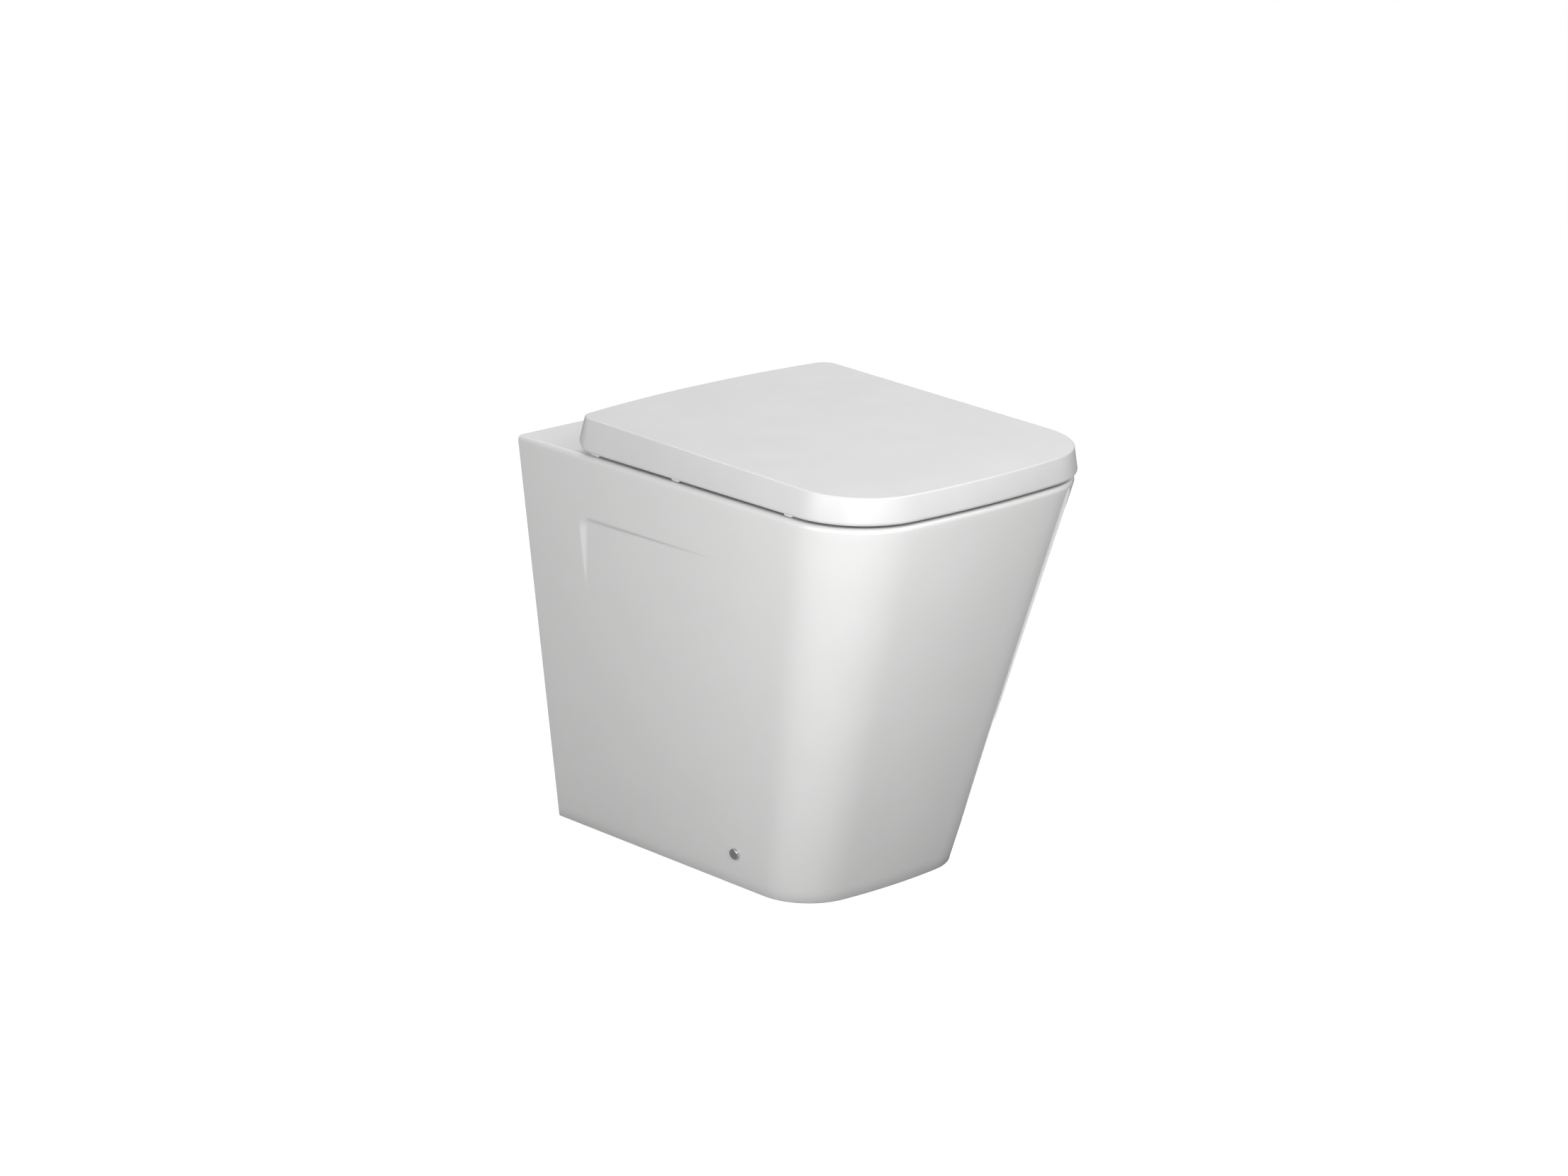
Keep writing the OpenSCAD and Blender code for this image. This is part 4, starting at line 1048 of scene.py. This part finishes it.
NUT_R = 5 / math.cos(math.radians(30))
nut = turned("nut", [(0, 388.9), (NUT_R, 388.9), (NUT_R, 394.1), (0, 394.1)], segments=6)
carve(nut, turned("round_off", [(0, 389), (5.2, 389), (5.95, 389.4), (5.95, 393.6),
                                (5.2, 394), (0, 394)]), how="INTERSECT")
carve(nut, turned("bore", [(0, 388), (3.9, 388), (3.9, 389), (3.05, 389.8), (3.05, 393.2),
                           (3.9, 394), (3.9, 395), (0, 395)], segments=32))
nuts = in_rows("clamp_nuts_hexagonal", nut, steel)

# %% Grub screws that lock the posts on the studs
grub = turned("grub", [(0, 0), (1.2, 0), (2, 0.8), (2, 5.1), (1.6, 5.5), (0, 5.5)],
              segments=32)
carve(grub, socket_cut(1.1, 3.4, 6.5))
grubs = dress(copies("post_grub_screws_turned", grub, [
    frame_of((side * HINGE_X, FIXING_Y - STUD_R, GRUB_Z), (0, -1, 0)) for side in SIDES]), steel)

# %% [markdown]
# ## Screws of the arms
# Both arms are screwed on from below. The ring's screws have a flat round head, the
# lid's are countersunk, and each has a hexagon socket, a thread and a point. One of
# each kind is made at the origin, and the tree puts it in its two rows.

# %% Arm screws
def arm_screw(name, profile, socket, start, stop, half_span):
    screw = turned(name, profile, segments=32)
    carve(screw, socket_cut(*socket))
    threaded(screw, core_r=1.85, pitch=0.9, start=start, length=stop - start)
    return in_rows(name, screw, steel, half_span, -ARM_SCREWS[0],
                   ARM_SCREWS[0] - ARM_SCREWS[1], 2)


ring_screws = arm_screw("ring_arm_screws_turned",
                        [(0, 421.6), (3.3, 421.6), (3.8, 421.9), (4, 422.4), (4, 424),
                         (1.85, 424), (1.85, 435.8), (0.9, 437), (0, 437)],
                        (1.4, 420.6, 423.1), 424.6, 435.6, RING_ARM_X)
lid_screws = arm_screw("lid_arm_screws_turned",
                       [(0, 446), (4.4, 446), (4.4, 446.2), (1.95, 448.7), (1.85, 448.8),
                        (1.85, 452.6), (0.9, 453.5), (0, 453.5)],
                       (1.4, 445, 447.7), 449.0, 452.4, LID_ARM_X)

# %% [markdown]
# ## Side fixings
# Two nylon brackets are screwed to the floor before the pan is slid over them. A
# screw on each side then goes through a soft sleeve in the china into the
# bracket's boss, and a small chrome cap snaps over its head. The cap on the
# left is the dark dot low on the pan's side.

# %% Screws, sleeves and caps at the pan's sides
LIFT = 0.05 * MM
side_places = [side_fixing(side, LIFT) for side in SIDES]
screw = turned("screw", [(0, -29.2), (0.6, -29.2), (2.15, -26.2), (2.15, 0.8), (4.25, 0.8),
                         (4.25, 1.7), (3.9, 2.3), (3.3, 2.6), (0, 2.6)], segments=40)
carve(screw, socket_cut(1.25, 1.4, 3.6))
threaded(screw, core_r=2.15, pitch=1.6, start=-26, length=24)
side_screws = dress(copies("side_screws_turned", screw, side_places), steel)

sleeve = turned("sleeve", [(2.6, -8.9), (4.1, -8.9), (4.4, -8.6), (4.4, 0), (5.25, 0),
                           (5.25, 0.55), (5, 0.8), (2.6, 0.8)])
sleeves = dress(copies("side_screw_sleeves_moulded", sleeve, side_places), soft)

edge = [(5.75 - by, 3.2 - fall) for by, fall in rounded(0.7, 6)]
cap = turned("cap", [(5.35, 0), (5.75, 0), *edge, (0, 3.2), (0, 2.75), (4.8, 2.75),
                     (5.35, 2.2)], segments=72)
caps = dress(copies("side_screw_caps_plated", cap, side_places), chrome)

# %% Floor brackets
BRACKET_HALF, RIB_T, FLOOR_SCREW_X, FLOOR_SCREW_STEP = mm(30, 3, 88.2, 20)


def bracket():
    middle, half = -SIDE_FIX[0], BRACKET_HALF
    body = pressed("floor_brackets_moulded", [(109.2, 0), (117.0, 58), (112.0, 58),
                                              (104.75, 4), (72.2, 4), (72.2, 0)],
                   middle - half, middle + half, 0.8 * MM, lengthways=True)
    for near in (middle - half + 1 * MM, middle + half - 4 * MM):
        carve(body, pressed("rib", [(76, 3), (106, 3), (112, 46), (110, 46)], near,
                            near + RIB_T, 0.4 * MM, lengthways=True), how="UNION")
    side = side_fixing(1)
    carve(body, turned("boss", [(0, -21), (7.3, -21), (8, -20.3), (8, -11.5), (0, -11.5)],
                       side), how="UNION")
    hole = [(0, -1), (3.25, -1), (3.25, 3.2), (3.9, 4), (3.9, 6), (0, 6)]
    carve(body, turned("bore", [(0, -39), (2.6, -39), (2.6, 0), (0, 0)], side, 32),
          *[turned("hole", hole, Matrix.Translation((
              FLOOR_SCREW_X, middle + way * FLOOR_SCREW_STEP, 0)), 32) for way in SIDES])
    return mirror_pair(body)


brackets = dress(bracket(), nylon)

# %% [markdown]
# ## Buffers
# Six soft feet under the ring rest on the rim and four under the lid rest on the
# ring. Each has a stem pressed into its hole. Their lower edges are rounded,
# because they are moulded from a soft clear plastic. The photograph shows three
# pale pads in the dark gap along the lid's edge, so thin pads of the same plastic
# are stuck under its skirt there.

# %% Seat buffers, and pads under the lid's skirt
BUFFER_X, PAD_X = mm(154, 170.5)
BUFFERS_D, PADS_D = (130, 235, 390), (115, 233, 392)


def soft_pad(name, w, length, low, top, r):
    """A long pad, rounded in plan, whose lower edge is rounded by r; all in mm."""
    steps = [(by, low + fall) for by, fall in rising(r, 5)] + [(0, top)]
    return skin(name, [[Vector((x, y, z)) * MM for x, y in rounded_box(
        w - 2 * by, length - 2 * by, w / 2 - by - 0.01)] for by, z in steps])


def at_sides(name, obj, x, distances):
    return copies(name, obj, [Matrix.Translation((side * x, -d * MM, 0))
                              for side in SIDES for d in distances])


seat_buffer = carve(soft_pad("buffer", 8, 20, 420.3, 428, 1.4),
                    turned("stem", [(0, 427), (2.5, 427), (2.5, 431.5), (2, 432), (0, 432)],
                           segments=28), how="UNION")
seat_buffers = dress(at_sides("seat_buffers_moulded", seat_buffer, BUFFER_X, BUFFERS_D), soft)
skirt_pads = dress(at_sides("lid_skirt_pads", soft_pad("pad", 4.4, 11, 421.5, 423.4, 0.8),
                            PAD_X, PADS_D), soft, sharp=40)

# %% Lid buffers
LID_BUFFERS = ((70, 448), (137, 200))
RING_REST = RING_TOP_Z + 0.3 * MM


def lid_buffer(x, d):
    body = lid_top_z((d + 6) * MM) - LID_TOP_T
    tip = lid_top_z(d * MM) - LID_TOP_T + 1.8 * MM
    r, stem, c = mm(6, 2.5, 0.4)
    foot = [(r - by, RING_REST + fall) for by, fall in rising(1.6 * MM, 5)]
    return turned("buffer", [(0, RING_REST), *foot, (r, body), (stem, body), (stem, tip - c),
                             (stem - c, tip), (0, tip)],
                  Matrix.Translation((x * MM, -d * MM, 0)), 40, unit=1)


lid_buffers = dress(join("lid_buffers_moulded", *[
    lid_buffer(side * x, d) for side in SIDES for x, d in LID_BUFFERS]), soft)

# %% Holes in the ring and the lid
def blind_holes(name, obj, *rows):
    """Cuts rows of holes, left and right; a row is x, distances, height, radius, depth."""
    carve(obj, join(name, *[bore((side * x, -d, low), (0, 0, 1), r, depth, 0.2)
                            for x, places, low, r, depth in rows
                            for side in SIDES for d in places]))


def lid_stem(x, d):
    return x * MM, [d * MM], lid_top_z(d * MM) - LID_TOP_T - 0.2 * MM, 2.6, 2.1


blind_holes("ring_holes", seat_ring, (RING_ARM_X, ARM_SCREWS, RING_Z, 2.3, 9.3),
            (BUFFER_X, mm(*BUFFERS_D), RING_Z, 2.6, 4.1))
blind_holes("lid_holes", lid, (LID_ARM_X, ARM_SCREWS, LID_ARM_TOP, 2.3, 3.8),
            *[lid_stem(x, d) for x, d in LID_BUFFERS])
dress(seat_ring, seat_plastic, sharp=50)
dress(lid, seat_plastic, sharp=35)

# %% [markdown]
# ## Which body each piece rides on
# A new piece stands for the imported node of the same form and moves with its body.
# The imported node stays hidden for the physics. Everything of the hinge that is bolted
# down rides with the pan.

# %% Bodies, nodes and material slots
PAN_NODES = ("pan_skirt", "pan_bowl", "pan_trapway", "pan_inlet")
DRESSED = {
    "pan_body": (
        (pan, "glazed_china", *PAN_NODES),
        (brackets, "bracket_plastic", "floor_brackets"),
        (side_screws, "fixing_steel", "side_screws"),
        (sleeves, "buffer_soft", "side_screw_sleeves"),
        (caps, "cap_chrome", "side_screw_caps"),
        (gaskets, "buffer_soft", "deck_gaskets"),
        (covers, "hinge_metal", "hinge_base_plates"),
        (studs, "fixing_steel", "hinge_studs"),
        (bushes, "bush_rubber", "expansion_bushes"),
        (washers, "fixing_steel", "clamp_washers"),
        (nuts, "fixing_steel", "clamp_nuts"),
        (hinge_posts, "hinge_metal", "hinge_posts"),
        (grubs, "fixing_steel", "post_grub_screws"),
        (hinge_pins, "fixing_steel", "hinge_pins")),
    "seat": (
        (seat_ring, "seat_plastic", "seat_ring"),
        (ring_arms, "hinge_metal", "ring_hinge_arms"),
        (ring_dampers, "damper_plastic", "ring_dampers"),
        (ring_screws, "fixing_steel", "ring_arm_screws"),
        (seat_buffers, "buffer_soft", "seat_buffers")),
    "lid": (
        (lid, "seat_plastic", "lid"),
        (lid_arms, "hinge_metal", "lid_hinge_arms"),
        (lid_dampers, "damper_plastic", "lid_dampers"),
        (lid_screws, "fixing_steel", "lid_arm_screws"),
        (lid_buffers, "buffer_soft", "lid_buffers")),
}
for body, rows in DRESSED.items():
    for piece, slot, *stands_for in rows:
        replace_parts(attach(piece, body), *stands_for)
    print(body, "carries", [piece.name for piece, *_ in rows])
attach(skirt_pads, "lid")

# %% [markdown]
# ## Floor and light
# The photograph has a pure white ground and broad soft light. A box on the left, one
# high in front and one overhead carry most of it, and a faint one behind lifts the
# deck. Two small panels close by make the near corner the brightest place; one of
# them shows in no mirror, because it would glare on the lid from behind. The pale
# strip down the right edge mirrors a lit floor beyond the pan, so two panels lie
# there. The floor looks white to the camera but is duller to everything else, so the
# pan's lower half stays darker.

# %% Floor
FLOOR_HALF, FLOOR_GLOW, WORLD_GLOW = 9, 0.93, 0.2
floor_paint = finish("studio_floor", ((800,), grey(0.28), grey(0.32)), None, Roughness=0.9,
                     Emission_Color=(1, 1, 1, 1))
shader = floor_paint.node_tree.nodes["Principled BSDF"]
seen = add(floor_paint.node_tree, "ShaderNodeLightPath", {}, "Is Camera Ray")
glow = add(floor_paint.node_tree, "ShaderNodeMath", {0: seen, 1: FLOOR_GLOW},
           operation="MULTIPLY")
floor_paint.node_tree.links.new(glow, shader.inputs["Emission Strength"])
floor = mesh_object("studio_floor", [(x * FLOOR_HALF, y * FLOOR_HALF, 0) for x, y in (
    (-1, -1), (1, -1), (1, 1), (-1, 1))], [(0, 1, 2, 3)])
floor.data.materials.append(floor_paint)
print("floor", 2 * FLOOR_HALF, "m square")

# %% Sky
world = bpy.data.worlds.new("studio_world")
bpy.context.scene.world = world
world.use_nodes = True
sky = world.node_tree.nodes["Background"].inputs
sky["Color"].default_value = (1, 1, 1, 1)
seen = add(world.node_tree, "ShaderNodeLightPath", {}, "Is Camera Ray")
world.node_tree.links.new(add(world.node_tree, "ShaderNodeMapRange", {
    "Value": seen, "To Min": WORLD_GLOW, "To Max": 1.0}), sky["Strength"])
print("sky", WORLD_GLOW, "to the object, 1 to the camera")

# %% Soft boxes
LIT_POINT = Vector((0, -0.26, 0.25))


def panel(name, centre, facing, size, watts, mirrored=True):
    """A rectangular light that the camera doesn't see, nor a mirror unless mirrored."""
    light = bpy.data.lights.new(name, "AREA")
    light.shape, light.energy = "RECTANGLE", watts
    light.size, light.size_y = size
    obj = new_object(name, light)
    obj.matrix_world = frame_of(centre, -Vector(facing))
    obj.visible_camera, obj.visible_glossy = False, mirrored
    print(name, watts, "W")


def soft_box(name, azimuth, elevation, distance, size, watts):
    """A panel that faces the pan; azimuth 0 is in front of it."""
    a, e = math.radians(azimuth), math.radians(elevation)
    away = Vector((math.sin(a) * math.cos(e), -math.cos(a) * math.cos(e), math.sin(e)))
    panel(name, LIT_POINT + away * distance, -away, size, watts)


panel("key_panel", (-0.62, -0.95, 0.52), (0.47, 0.53, -0.12), (0.5, 0.5), 3.0)
panel("near_panel", (-0.25, -1.15, 0.62), (0.15, 0.7, -0.3), (0.4, 0.4), 1.7,
      mirrored=False)
soft_box("side_box", -90, 15, 1.5, (0.8, 0.8), 7.2)
soft_box("front_box", 25, 45, 1.4, (0.8, 0.8), 5.8)
soft_box("top_box", 150, 70, 1.6, (1.6, 1.6), 13.5)
soft_box("back_box", 136, 17, 1.6, (1.2, 0.7), 1.2)
panel("floor_panel", (0.62, 0.0, 0.01), (0, 0, 1), (0.9, 0.64), 1.45)
panel("foot_panel", (0.29, -0.13, 0.012), (0, 0, 1), (0.24, 0.34), 0.2)
bpy.context.scene.view_settings.view_transform = "Standard"
